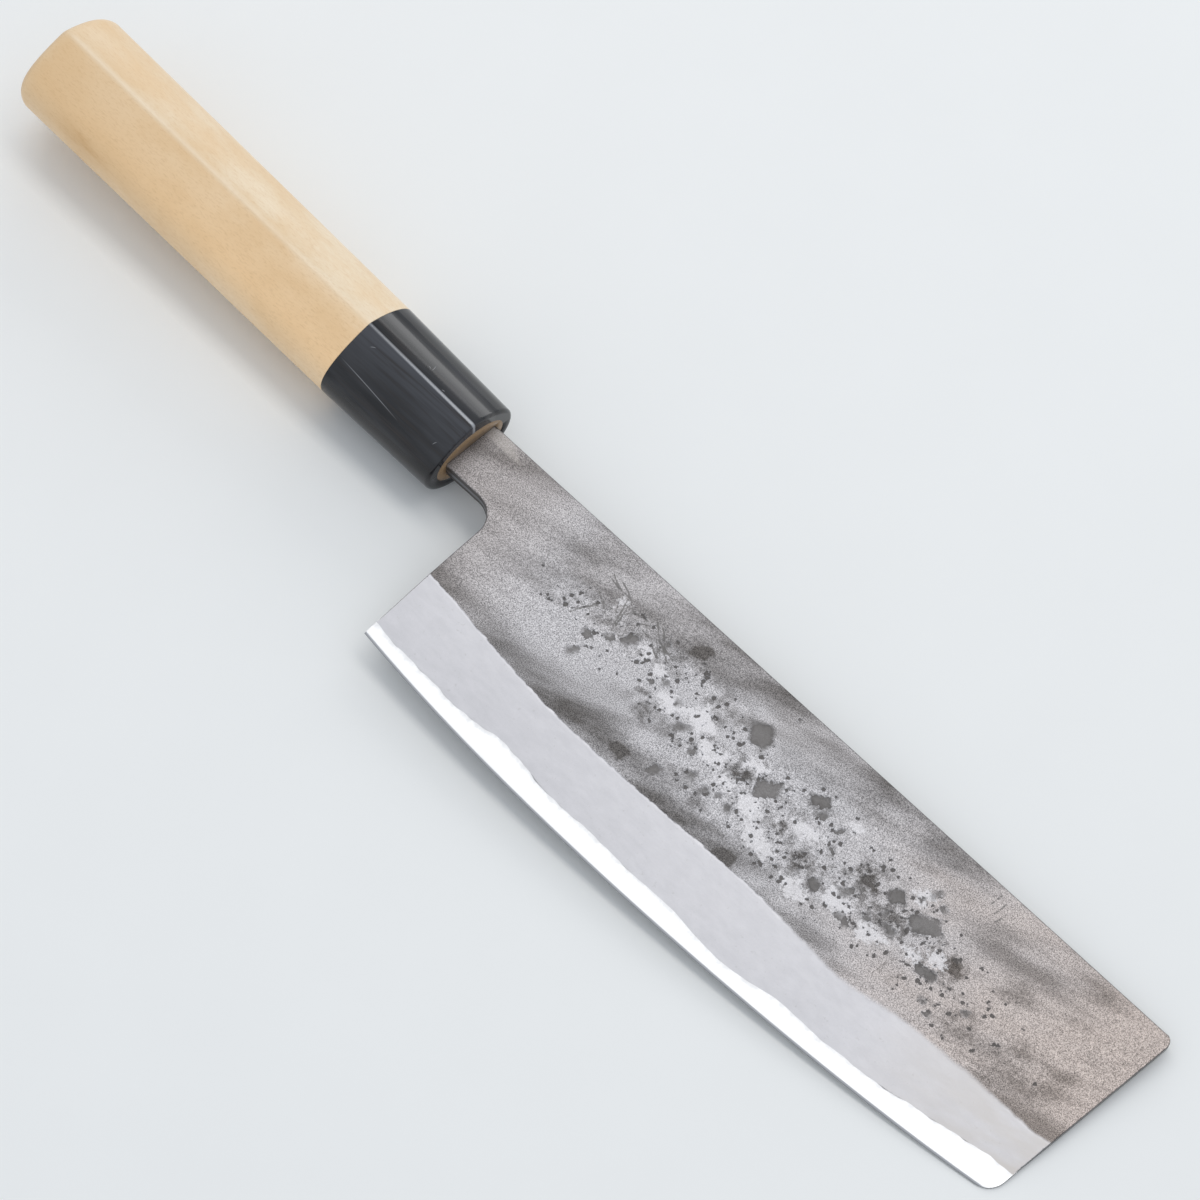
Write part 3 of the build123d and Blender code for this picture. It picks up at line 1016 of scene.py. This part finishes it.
def core_mesh():
    """The hard core: flat inside the jackets, and bare along both bevels to the edge."""
    boundary = outline(1, whole=True)
    xs = np.arange(HEEL_X + 0.2, EDGE_END - 0.2, 0.3)
    low = edge_y(xs)
    rows = [paired(xs, low + rise) for rise in CORE_ROWS]
    for side in (1, -1):
        xs = lamination_places(side)[1:-1]
        rows.append(paired(xs, lamination_y(xs, side)))
    loose = np.concatenate(rows)
    loose = loose[inside(loose, inset_points(boundary, 0.1))]

    def face(side):
        def height(x, y):
            return side * np.minimum(seam_z(x, side), side_z(x, y, side))
        return height

    mesh = joined_sides("core", boundary, loose, face(1), face(-1), both_dense=True)
    x, y, z = vertex_places(mesh).T
    above = y - edge_y(np.clip(x, HEEL_X, EDGE_END))
    # Painted shade on the edge's fine bevel, darkened in the material
    store(mesh, "lip", np.clip(1.15 - above / LIP_HEIGHT, 0, 1) * (x > HEEL_X - 0.2))
    held = np.clip(x, HEEL_X, NOSE_X)
    seam = np.where(z > 0, lamination_y(held, 1), lamination_y(held, -1))
    store(mesh, "seam", np.clip(seam - y, 0, 9))
    normals = np.empty(len(mesh.polygons) * 3)
    mesh.polygons.foreach_get("normal", normals)
    upright = np.abs(normals.reshape(-1, 3)[:, 2]) < 0.5
    # Painted shade: the upright walls are darkened in the material
    painted_wall_shade = mesh.attributes.new("painted_wall_shade", "FLOAT", "FACE")
    painted_wall_shade.data.foreach_set("value", upright.astype(np.float32))
    return mesh


# Materials

# Linear colours of the pear skin and its marks, with painted highlights and painted shade
SKIN_LIGHT = (0.40, 0.392, 0.403, 1.0)
SKIN_DARK = (0.10, 0.094, 0.091, 1.0)
SKIN_WARMTH = (1.0, 0.89, 0.80, 1.0)
SKIN_RUBBED = (0.60, 0.59, 0.605, 1.0)
NECK_WORN_AND_LIT = (0.46, 0.43, 0.40, 1.0)
CHIP_RIM_HIGHLIGHT = (0.5, 0.49, 0.5, 1.0)
CHIP_MIDDLE = (0.165, 0.157, 0.153, 1.0)
CHIP_BORDER = (0.095, 0.088, 0.084, 1.0)
SCRATCHED = (0.13, 0.125, 0.12, 1.0)
JACKET_WALL_SHADE = (0.09, 0.083, 0.078, 1.0)

# Linear colours of the satin bevel and the core, with the core's painted shade
BEVEL_DIM = (0.445, 0.442, 0.463, 1.0)
BEVEL_BRIGHT = (0.485, 0.482, 0.503, 1.0)
BEVEL_SPOT = (0.33, 0.32, 0.32, 1.0)
BEVEL_TARNISH = (0.415, 0.395, 0.38, 1.0)
CORE_DIM = (0.79, 0.79, 0.795, 1.0)
CORE_BRIGHT = (0.83, 0.83, 0.83, 1.0)
CORE_SEAM = (0.50, 0.50, 0.515, 1.0)
CORE_LIP_SHADE = (0.2, 0.2, 0.21, 1.0)
CORE_WALL_SHADE = (0.13, 0.13, 0.14, 1.0)

# Linear colours of the horn, with its painted highlight and painted reflections
HORN_BLACK = (0.0005, 0.0005, 0.0008, 1.0)
HORN_VEIL = (0.022, 0.022, 0.024, 1.0)
HORN_LOW_REFLECTION = (0.068, 0.07, 0.08, 1.0)
HORN_STRIPE_REFLECTION = (0.075, 0.072, 0.07, 1.0)
HORN_BROWN = (0.024, 0.019, 0.017, 1.0)
HORN_RIDGE_HIGHLIGHT = (0.42, 0.43, 0.45, 1.0)
HORN_NICK = (0.32, 0.32, 0.33, 1.0)

# Linear colours of the wood, with its painted shade and painted highlight
WOOD_PALE = (0.88, 0.73, 0.53, 1.0)
WOOD_SHADED = (0.81, 0.63, 0.41, 1.0)
WOOD_GRAIN = (0.72, 0.49, 0.28, 1.0)
WOOD_LOW_SHADE = (1.0, 0.655, 0.335, 1.0)
WOOD_BACK = (0.77, 0.53, 0.29, 1.0)
WOOD_MOTTLE = (0.80, 0.52, 0.26, 1.0)
WOOD_FLECK = (0.66, 0.42, 0.20, 1.0)
WOOD_CREST_HIGHLIGHT = (0.94, 0.84, 0.68, 1.0)
WOOD_STREAK = (0.60, 0.33, 0.11, 1.0)
TENON_PALE = (0.34, 0.22, 0.12, 1.0)
TENON_DARK = (0.19, 0.12, 0.06, 1.0)
BUTT_PALE = (0.62, 0.42, 0.22, 1.0)
BUTT_DARK = (0.45, 0.28, 0.13, 1.0)

# Linear colours of the resin and the floor
RESIN_DARK = (0.03, 0.02, 0.012, 1.0)
RESIN_PALE = (0.1, 0.07, 0.04, 1.0)
FLOOR_DIM = (0.875, 0.875, 0.855, 1.0)
FLOOR_BRIGHT = (0.9, 0.9, 0.88, 1.0)

# Heights above the handle's axis of the right side's ridge and the horn's painted reflection stripe
RIDGE_HEIGHT = 0.75
REFLECTION_STRIPE_HEIGHT = 5.6

# The brown streak in the wood: its place along the handle and its depth below the axis
STREAK_X = -104.0
STREAK_DEPTH = 11.2


def new_material(name, own_place=True):
    """A node material, its Principled shader's inputs and the place that textures use.

    The place is the piece's own knife coordinates, or else the Object coordinates.
    """
    material = bpy.data.materials.new(name)
    material.use_nodes = True
    tree = material.node_tree
    if own_place:
        place = added(tree, "ShaderNodeAttribute", output="Vector", attribute_name="knife")
    else:
        place = added(tree, "ShaderNodeTexCoord", output="Object")
    return material, tree.nodes["Principled BSDF"].inputs, place


def attribute(place, name):
    """A number stored on the mesh, in the tree of the place."""
    return added(place.tree, "ShaderNodeAttribute", output="Fac", attribute_name=name)


def bumped(shader, height, strength, distance):
    """Adds a bump from a height."""
    values = {"Height": height, "Strength": strength, "Distance": distance}
    fill(shader["Normal"], joined("ShaderNodeBump", values))


def swing(value, reach):
    """A noise value turned into a swing round zero."""
    return ranged(value, 0.3, 0.7, -reach, reach)


def most(*values):
    """The largest of several values."""
    result = values[0]
    for value in values[1:]:
        result = calc("MAXIMUM", result, value)
    return result


def axis_height(place):
    """Height above the handle's axis."""
    tilt = math.radians(HANDLE_TILT)
    return dot(place, math.sin(tilt), math.cos(tilt))


def burnt_shades(x, y, skin, cloud, streak):
    """The spine's dark by itself, and the whole dark with low side, heel and strokes."""
    lift = y + ranged(x, 48.0, 80.0, 5.5, -2.5)
    spine = ranged(lift + swing(cloud, 6.0), -6.0, 4.5, smooth=True)
    spine *= ranged(abs(x - 80.0), 64.0, 44.0, 0.1, 1.0)
    low = ranged(y + swing(streak, -4.0), -15.0, -29.0, smooth=True)
    dark = spine * 0.6 + low * ranged(x, 120.0, 160.0, 0.27, 0.1)
    dark += ranged(skin, 8.0, 2.0, smooth=True) * ranged(x, 100.0, 65.0, 0.0, 0.15)
    dark += ranged(x, 31.0, 8.0, 0.0, 0.4, smooth=True)
    dark -= ranged(x, 138.0, 166.0, 0.0, 0.13)
    strokes = ranged(cloud, 0.38, 0.62, 0.42, -0.24) + ranged(streak, 0.38, 0.62, 0.26, -0.24)
    return spine, dark + strokes * ranged(x, 12.0, 48.0, 0.4, 1.0)


def forged_marks(place, band, blotch, ragged):
    """Blotches with ragged rims, the pits cut into the skin, and dots too small to cut."""
    soft = ranged(noise(place, 0.5, 1.0, 0.5), 0.42, 0.62, 0.05, 0.75)
    blot = ranged(blotch + 0.1, soft, -soft, 0.0, 0.88)
    pit = ranged(attribute(place, "pits") + ragged * 0.4, 0.04, -0.06, 0.0, 0.9)
    values = {"Vector": place, "Scale": 0.95, "Randomness": 1.0}
    cell = joined("ShaderNodeTexVoronoi", values, "Distance")
    luck = joined("ShaderNodeSeparateColor", {0: cell.other("Color")})
    size = ranged(luck, 0.8, 1.0, 0.0, 0.2) * ranged(band, 0.35, 0.85)
    return most(blot, pit, ranged(cell - size, 0.02, -0.02, 0.0, 0.85))


def skin_tone(place, x, y, band, cloud, streak, salt_grain, skin):
    """The forged skin's colour, its marks and scratches, and painted highlights on rims and neck."""
    crumbs = swing(noise(place, 1.1, 4.0, 0.68), 1.3)
    spine, dark = burnt_shades(x, y, skin, cloud, streak)
    dark += ranged(attribute(place, "shade") + crumbs * 0.13, 0.2, 0.8, 0.0, 0.56)
    dark += ranged(noise(place, 0.42, 4.0, 0.62), 0.42, 0.58, 0.3, -0.6) * band
    tone = mixed(ranged(dark, 0.0, 1.0), SKIN_LIGHT, SKIN_DARK)
    warm = ranged(cloud * 60.0 + x, 130.0, 210.0, smooth=True)
    warm = most(warm, ranged(x, 40.0, 5.0, 0.0, 0.4, smooth=True), spine * 0.15)
    tone = mixed(warm, tone, SKIN_WARMTH, "MULTIPLY")
    rubbed = ranged(attribute(place, "bright") + crumbs, 0.5, -0.25)
    tone = mixed(rubbed * 0.72, tone, SKIN_RUBBED)
    salt = ranged(salt_grain, 0.66, 1.04, -0.56, 0.56) * ranged(rubbed, 0.0, 1.0, 1.0, 0.35)
    tone = vector_calc("SCALE", tone, Scale=salt + 1.0)
    # The ground facet at the neck: lighter where the dark finish is ground away, plus a painted
    # highlight as if it caught the light
    slant = x + (y - 6.5) * 1.6
    worn_and_lit = ranged(slant, 7.2, 5.0) * ranged(y, 3.7, 4.5)
    tone = mixed(worn_and_lit * 0.36, tone, NECK_WORN_AND_LIT)
    ragged = swing(noise(place, 1.15, 3.0, 0.62), 0.46)
    blotch = attribute(place, "blotch") + ragged
    marks = forged_marks(place, band, blotch, ragged)
    # Painted highlight: a lighter ring all round each blotch, standing in for its lit rim
    rim = ranged(blotch, 0.3, 0.12) * (1.0 - marks)
    tone = mixed(rim * 0.3, tone, CHIP_RIM_HIGHLIGHT)
    tone = mixed(marks, tone, mixed(ranged(blotch, -0.9, 0.1), CHIP_MIDDLE, CHIP_BORDER))
    scratch = ranged(attribute(place, "scratch") + ragged * 0.35, 0.2, 0.06, 0.0, 0.85)
    return mixed(scratch, tone, SCRATCHED), marks, scratch


def bevel_tone(place, x, streak):
    """The satin bevel's colour, with a few spots and some tarnish towards the nose."""
    satin = stretched(place, (0.25, 0.6, 0.6), 3.0, 0.6)
    fine = stretched(place, (3.0, 5.0, 5.0), 2.0, 0.7)
    tone = mixed(ranged(satin, 0.3, 0.7), BEVEL_DIM, BEVEL_BRIGHT)
    tone = vector_calc("SCALE", tone, Scale=ranged(fine, 0.2, 0.8, 0.97, 1.03))
    spot = ranged(noise(place, 1.3, 2.0, 0.6), 0.66, 0.74, 0.0, 0.35)
    tone = mixed(spot, tone, BEVEL_SPOT)
    tarnish = ranged(x, 138.0, 172.0) * ranged(streak, 0.35, 0.6, 0.25, 0.9)
    return mixed(tarnish, tone, BEVEL_TARNISH)


def cladding_material():
    """Forged pear skin above the bevel line, clean satin bevel below it, painted shade on the walls."""
    material, shader, place = new_material("Forged cladding")
    x, y, _ = split(place)
    skin, band = attribute(place, "skin"), attribute(place, "band")
    turned = {"Vector": place, "Rotation": (0, 0, -STROKE_TURN)}
    swept = joined("ShaderNodeMapping", turned)
    cloud = stretched(swept, (0.03, 0.09, 0.1), 3.0, 0.5)
    streak = stretched(swept, (0.055, 0.22, 0.1), 3.0, 0.55)
    grain, speck = noise(place, 4.0, 2.0, 0.7), noise(place, 6.5, 1.0, 0.5)
    salt_grain = grain + speck * 0.7
    tone, marks, scratch = skin_tone(place, x, y, band, cloud, streak, salt_grain, skin)
    soft = ranged(abs(x - 145.0), 45.0, 8.0, 0.3, 1.5, smooth=True)
    edge = skin + swing(noise(place, 0.5, 3.0, 0.6), 0.2)
    over = ranged(edge / soft, -0.5, 0.5, smooth=True)
    body = mixed(over, bevel_tone(place, x, streak), tone)
    # Painted shade on the jacket's walls
    fill(shader["Base Color"], mixed(attribute(place, "painted_wall_shade") * 0.85, body, JACKET_WALL_SHADE))
    fill(shader["Metallic"], 1.0)
    fill(shader["Roughness"], ranged(over, 0.0, 1.0, 0.33, 0.46) + marks * 0.06)
    height = over * (grain + speck * 0.4) * (1.0 - marks * 0.7)
    bumped(shader, height - scratch * 0.6 - marks * 2.0, 0.4, 0.00006)
    return material


def core_material():
    """Bright polished core steel, a little cloudy at the lamination; painted shade on lip and walls."""
    material, shader, place = new_material("Core steel")
    cloudy = stretched(place, (0.1, 0.5, 0.5), 2.0, 0.5)
    tone = mixed(ranged(cloudy, 0.35, 0.65), CORE_DIM, CORE_BRIGHT)
    seam = attribute(place, "seam") + swing(noise(place, 0.6, 3.0, 0.6), 0.5)
    tone = mixed(ranged(seam, 1.1, -0.2, 0.0, 0.55, smooth=True), tone, CORE_SEAM)
    # Painted shade on the edge's fine bevel
    tone = mixed(attribute(place, "lip") * 0.8, tone, CORE_LIP_SHADE)
    # Painted shade on the core's walls
    tone = mixed(attribute(place, "painted_wall_shade") * 0.8, tone, CORE_WALL_SHADE)
    fill(shader["Base Color"], tone)
    fill(shader["Metallic"], 1.0)
    fill(shader["Roughness"], ranged(cloudy, 0.3, 0.7, 0.3, 0.33))
    return material


def horn_nicks(place, upward):
    """The light nicks on the horn's right side: 1 inside, fading out round them."""
    nick = 0.0
    for nick_x, nick_y, length, turn in HORN_NICKS:
        cosine, sine = math.cos(math.radians(turn)), math.sin(math.radians(turn))
        off = vector_calc("SUBTRACT", place, (nick_x, nick_y, 0.0))
        run, side = dot(off, cosine, sine), dot(off, -sine, cosine)
        bow = run * run * (0.3 / length ** 2)
        wide = ranged(abs(side + bow), 0.09, 0.03)
        nick = most(nick, wide * ranged(abs(run), 0.5 * length, 0.2 * length))
    return nick * calc("GREATER_THAN", upward, 3.0)


def horn_material():
    """Polished black horn: faint streaks, painted ridge highlight, painted reflections and a few nicks.
    """
    material, shader, place = new_material("Black horn")
    x, _, upward = split(place)
    streak = stretched(place, (0.04, 0.9, 0.9), 3.0, 0.6)
    veil = stretched(place, (0.05, 0.4, 0.4), 3.0, 0.55)
    over = axis_height(place)
    tone = mixed(ranged(veil, 0.38, 0.62), HORN_BLACK, HORN_VEIL)
    # Painted reflection: a bluish sheen on the low facet, by the ridge
    below = ranged(over, -9.0, 0.4, 0.1, 1.0) * ranged(over, 1.2, 0.7)
    tone = mixed(below * ranged(streak, 0.3, 0.65, 0.95, 0.5), tone, HORN_LOW_REFLECTION)
    # Painted reflection: a pale band along the upper facet
    reflection_stripe = ranged(abs(over - REFLECTION_STRIPE_HEIGHT), 2.0, 0.3, 0.0, 0.8, smooth=True)
    tone = mixed(reflection_stripe, tone, HORN_STRIPE_REFLECTION)
    tone = mixed(ranged(streak, 0.52, 0.72), tone, HORN_BROWN)
    # Painted highlight along the ridge, stronger towards the front
    ridge = ranged(abs(over - RIDGE_HEIGHT), 0.5, 0.1, smooth=True)
    ridge = ridge * ranged(upward, 4.0, 7.0) * ranged(x, -31.0, -1.0, 0.35, 0.85)
    tone = mixed(ridge, tone, HORN_RIDGE_HIGHLIGHT)
    nick = horn_nicks(place, upward)
    fill(shader["Base Color"], mixed(nick * 0.65, tone, HORN_NICK))
    fill(shader["Roughness"], ranged(veil, 0.3, 0.7, 0.06, 0.13) + nick * 0.2)
    fill(shader["Specular IOR Level"], 0.5)
    bumped(shader, streak * 0.3 - nick, 0.1, 0.00005)
    return material


def wood_material():
    """Pale magnolia: soft growth bands, short dark flecks, browner end grain, painted shade and
    highlight.
    """
    material, shader, place = new_material("Ho wood")
    x, _, upward = split(place)
    mottle = stretched(place, (0.045, 0.1, 0.1), 4.0, 0.6)
    grain = stretched(place, (0.12, 1.3, 1.3), 4.0, 0.6)
    fleck = stretched(place, (0.8, 3.4, 3.4), 3.0, 0.7)
    tone = mixed(ranged(mottle, 0.35, 0.68), WOOD_PALE, WOOD_SHADED)
    tone = mixed(ranged(grain, 0.42, 0.75, 0.0, 0.2), tone, WOOD_GRAIN)
    over = axis_height(place)
    right = ranged(upward, 1.0, 6.0) * ranged(x, -123.5, -120.0)
    # Painted shade: warmer and darker below the ridge on the right side, and towards the bottom
    low = ranged(over, 1.4, 0.2, 0.0, 0.42) * right + ranged(over, 0.0, -10.0, 0.0, 0.42)
    tone = mixed(low, tone, WOOD_LOW_SHADE)
    tone = mixed(ranged(x, -60.0, -121.0, 0.0, 0.5), tone, WOOD_BACK)
    tone = mixed(ranged(mottle, 0.45, 0.62, 0.0, 0.3), tone, WOOD_MOTTLE)
    tone = mixed(ranged(fleck, 0.5, 0.68, 0.0, 0.38), tone, WOOD_FLECK)
    # Painted highlight along the ridge on the right side
    crest = ranged(abs(over - RIDGE_HEIGHT), 1.1, 0.1, 0.0, 0.36)
    crest *= right * ranged(x, -35.0, -85.0, 0.4, 1.0)
    tone = mixed(crest, tone, WOOD_CREST_HIGHLIGHT)
    streak_y = abs(over + swing(mottle, 1.0) + STREAK_DEPTH)
    streak = ranged(streak_y, 1.4, 0.2) * ranged(abs(x - STREAK_X), 9.0, 1.0)
    tone = mixed(streak * ranged(grain, 0.35, 0.6, 0.2, 0.5), tone, WOOD_STREAK)
    pores = ranged(noise(place, 5.0, 2.0, 0.6), 0.4, 0.7)
    butt = mixed(pores, BUTT_PALE, BUTT_DARK)
    tone = mixed(ranged(x, -122.6, -124.0, 0.0, 0.55), tone, butt)
    tenon = mixed(pores, TENON_PALE, TENON_DARK)
    fill(shader["Base Color"], mixed(ranged(x, -1.2, -0.6), tone, tenon))
    fill(shader["Roughness"], ranged(grain, 0.3, 0.7, 0.34, 0.46))
    fill(shader["Specular IOR Level"], 0.45)
    bumped(shader, grain + fleck * 0.8, 0.22, 0.00006)
    return material


def resin_material():
    """Dark brown bonding resin, a little uneven."""
    material, shader, place = new_material("Resin", own_place=False)
    uneven = noise(place, 900.0, 3.0, 0.6)
    fill(shader["Base Color"], mixed(uneven, RESIN_DARK, RESIN_PALE))
    fill(shader["Roughness"], ranged(uneven, 0.3, 0.7, 0.25, 0.45))
    bumped(shader, uneven, 0.3, 0.00008)
    return material


def floor_material():
    """Pale paper-like floor."""
    material, shader, place = new_material("Floor", own_place=False)
    fill(shader["Base Color"], mixed(noise(place, 30.0, 3.0, 0.6), FLOOR_DIM, FLOOR_BRIGHT))
    fill(shader["Roughness"], 0.9)
    return material


# The add-on's settings, operators and panel


class NakiriSettings(bpy.types.PropertyGroup):
    """What can be set before the knife is built."""

    hammer_depth: bpy.props.FloatProperty(
        name="Hammer Depth", description="Depth of the hammer hollows, in millimetres",
        default=0.035, min=0.0, max=0.1)
    pit_density: bpy.props.FloatProperty(
        name="Pit Density", description="Scattered pits for each square millimetre of the band",
        default=0.6, min=0.0, max=2.0)
    pit_seed: bpy.props.IntProperty(
        name="Pit Seed", description="Seed of the scattered pits", default=7)
    rim_round: bpy.props.FloatProperty(
        name="Rim Round", description="Rounding of the ferrule's front rim, in millimetres",
        default=0.8, min=0.1, max=2.0)
    butt_round: bpy.props.FloatProperty(
        name="Butt Round", description="Rounding of the handle's end, in millimetres",
        default=3.6, min=0.5, max=6.0)
    key_power: bpy.props.FloatProperty(
        name="Key Power", description="Power of the large soft light", default=4.0, subtype="POWER")


class NAKIRI_OT_jackets(bpy.types.Operator):
    """Builds both soft jackets of the blade with their forged sides."""

    bl_idname = "nakiri.jackets"
    bl_label = "Build Jackets"

    def execute(self, context):
        settings = context.scene.nakiri
        material = cladding_material()
        group = relief_group()
        for side, name, shift in ((1, "cladding_right", 0), (-1, "cladding_left", 4)):
            values = {"Side": float(side), "Hammer Depth": settings.hammer_depth,
                      "Pit Density": settings.pit_density,
                      "Seed": float(settings.pit_seed + shift)}
            mesh = grown(name, cladding_mesh(side), group, values, material)
            finish_piece(name + "_skin", mesh, name)
        return {"FINISHED"}


class NAKIRI_OT_core(bpy.types.Operator):
    """Builds the hard core with its bare edge."""

    bl_idname = "nakiri.core"
    bl_label = "Build Core"

    def execute(self, context):
        mesh = core_mesh()
        mesh.materials.append(core_material())
        finish_piece("core_edge", mesh, "core_steel")
        return {"FINISHED"}


class NAKIRI_OT_handle(bpy.types.Operator):
    """Builds the ferrule and the wooden handle with its tenon."""

    bl_idname = "nakiri.handle"
    bl_label = "Build Handle"

    def execute(self, context):
        settings = context.scene.nakiri
        group = loft_group(section_group())
        values = {"Front Height": FRONT_HEIGHT, "Back Height": JOINT_HEIGHT,
                  "Length": FERRULE_LENGTH, "Front Round": settings.rim_round,
                  "Tenon Height": TENON_HEIGHT, "Tenon Thickness": TENON_THICKNESS,
                  "Hollow": 1.0, "Wear": 0.012}
        blank = bpy.data.meshes.new("ferrule_blank")
        mesh = grown("ferrule", blank, group, values, horn_material())
        finish_piece("ferrule_horn", mesh, "ferrule", handle_matrix())
        values.update({"Front Height": JOINT_HEIGHT, "Back Height": BUTT_HEIGHT,
                       "Front Ridge": 1.2, "Back Ridge": 3.0,
                       "Length": HANDLE_LENGTH - FERRULE_LENGTH - JOINT_GAP,
                       "Front Round": 0.12, "Back Round": settings.butt_round,
                       "Tenon Length": FERRULE_LENGTH, "Hollow": 0.0, "Rings": 170.0,
                       "Wear": 0.05})
        blank = bpy.data.meshes.new("handle_blank")
        mesh = grown("handle", blank, group, values, wood_material())
        mesh.transform(Matrix.Translation((0, 0, FERRULE_LENGTH)))
        finish_piece("handle_wood", cut_mortise(mesh), "handle_body", handle_matrix())
        resin = frame["nodes"]["tang_resin"].data
        resin.materials.clear()
        resin.materials.append(resin_material())
        return {"FINISHED"}


def cut_mortise(mesh):
    """Cuts the tang's slot from the tenon's front, in the handle's axes."""
    middle = SPINE_Y - NECK_HEIGHT / 2
    tall = NECK_HEIGHT / 2 - TANG_SHOULDER + MORTISE_GAP
    wide = THICKNESS[1][1] / 2 + MORTISE_GAP
    end_tall, end_wide = TANG_END_HEIGHT / 2 + MORTISE_GAP, THICKNESS[0][1] / 2 + MORTISE_GAP
    deep = TANG_LENGTH + MORTISE_SPARE
    rows = ((middle, tall, wide, -1.0), (middle, tall, wide, 0.0), (0.0, end_tall, end_wide, deep))
    points = [(mid + sx * high, sy * broad, z) for mid, high, broad, z in rows
              for sx, sy in ((1, 1), (-1, 1), (-1, -1), (1, -1))]
    faces = [(3, 2, 1, 0), (8, 9, 10, 11)]
    for row in (0, 4):
        for i in range(4):
            j = (i + 1) % 4
            faces.append((row + i, row + j, row + j + 4, row + i + 4))
    cutter_mesh = bpy.data.meshes.new("mortise")
    cutter_mesh.from_pydata(points, [], faces)
    cutter, body = linked("mortise", cutter_mesh), linked("body", mesh)
    turn_outwards(cutter_mesh)
    turn_outwards(mesh)
    modifier = body.modifiers.new("Mortise", "BOOLEAN")
    modifier.operation = "DIFFERENCE"
    modifier.solver = "EXACT"
    modifier.object = cutter
    made = plain_mesh(body)
    bpy.data.objects.remove(cutter)
    return made


class NAKIRI_OT_stage(bpy.types.Operator):
    """Sets up the floor, the lights, the world and the camera."""

    bl_idname = "nakiri.stage"
    bl_label = "Set Up Stage"

    def execute(self, context):
        scene = context.scene
        made = (
            floor_sheet(),
            soft_light("key", (-250, 430, 1090), (20, 0, 0), (1.7, 0.36), scene.nakiri.key_power,
                       KEY_COLOUR),
            soft_light("back", (-500, 1300, 500), (0, 0, 0), (1.4, 0.5), BACK_POWER,
                       (1.0, 1.0, 1.0)),
        )
        world = bpy.data.worlds.new("Studio")
        world.use_nodes = True
        background = world.node_tree.nodes["Background"].inputs
        background["Color"].default_value = WORLD_COLOUR
        background["Strength"].default_value = WORLD_STRENGTH
        scene.world = world
        scene.view_settings.view_transform = "Standard"
        scene.camera = photo_camera()
        return {"FINISHED"}


def floor_sheet():
    """The floor under the knife."""
    size = FLOOR_HALF
    mesh = bpy.data.meshes.new("floor")
    corners = [(-size, -size, 0), (size, -size, 0), (size, size, 0), (-size, size, 0)]
    mesh.from_pydata(corners, [], [(0, 1, 2, 3)])
    mesh.materials.append(floor_material())
    return linked("floor", mesh)


def soft_light(name, place, aim, size, power, colour):
    """A large soft light, with its place and aim in the knife's axes, and its size in metres."""
    turn = knife_matrix()
    data = bpy.data.lights.new(name, "AREA")
    data.shape = "RECTANGLE"
    data.size, data.size_y = size
    data.energy = power
    data.color = colour
    lamp = linked(name, data)
    lamp.location = turn @ Vector(place)
    out = (lamp.location - turn @ Vector(aim)).normalized()
    side = (turn.to_3x3() @ Vector((1, 0, 0))).normalized()
    up = out.cross(side).normalized()
    lamp.rotation_euler = Matrix((up.cross(out), up, out)).transposed().to_euler()
    return lamp


def photo_camera():
    """The camera that sees the knife as the photograph does."""
    turn = knife_matrix()
    data = bpy.data.cameras.new("Camera")
    data.sensor_width = CAMERA_SENSOR
    data.lens = CAMERA_LENS
    data.clip_end = 20.0
    right, down = Vector(CAMERA_RIGHT).normalized(), Vector(CAMERA_DOWN).normalized()
    forward = right.cross(down).normalized()
    down = forward.cross(right)
    axes = Matrix((right, -down, -forward)).transposed().to_4x4()
    spin = turn.to_3x3().normalized().to_4x4() @ axes
    camera = linked("Camera", data)
    camera.matrix_world = Matrix.Translation(turn @ Vector(CAMERA_PLACE)) @ spin
    return camera


class NAKIRI_PT_panel(bpy.types.Panel):
    """Settings and operators in the sidebar."""

    bl_label = "Nakiri Knife"
    bl_space_type = "VIEW_3D"
    bl_region_type = "UI"
    bl_category = "Nakiri"

    def draw(self, context):
        settings = context.scene.nakiri
        for name in NakiriSettings.__annotations__:
            self.layout.prop(settings, name)
        for operator in OPERATORS:
            self.layout.operator(operator.bl_idname)


OPERATORS = (NAKIRI_OT_jackets, NAKIRI_OT_core, NAKIRI_OT_handle, NAKIRI_OT_stage)
CLASSES = (NakiriSettings, *OPERATORS, NAKIRI_PT_panel)


def register():
    """Adds the classes and the scene's settings."""
    for cls in CLASSES:
        bpy.utils.register_class(cls)
    bpy.types.Scene.nakiri = bpy.props.PointerProperty(type=NakiriSettings)


def unregister():
    """Takes them away again."""
    del bpy.types.Scene.nakiri
    for cls in reversed(CLASSES):
        bpy.utils.unregister_class(cls)


def main():
    """Builds the knife and its stage."""
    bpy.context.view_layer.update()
    register()
    bpy.ops.nakiri.jackets()
    bpy.ops.nakiri.core()
    bpy.ops.nakiri.handle()
    bpy.ops.nakiri.stage()
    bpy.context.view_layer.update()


if __name__ == "__main__":
    main()
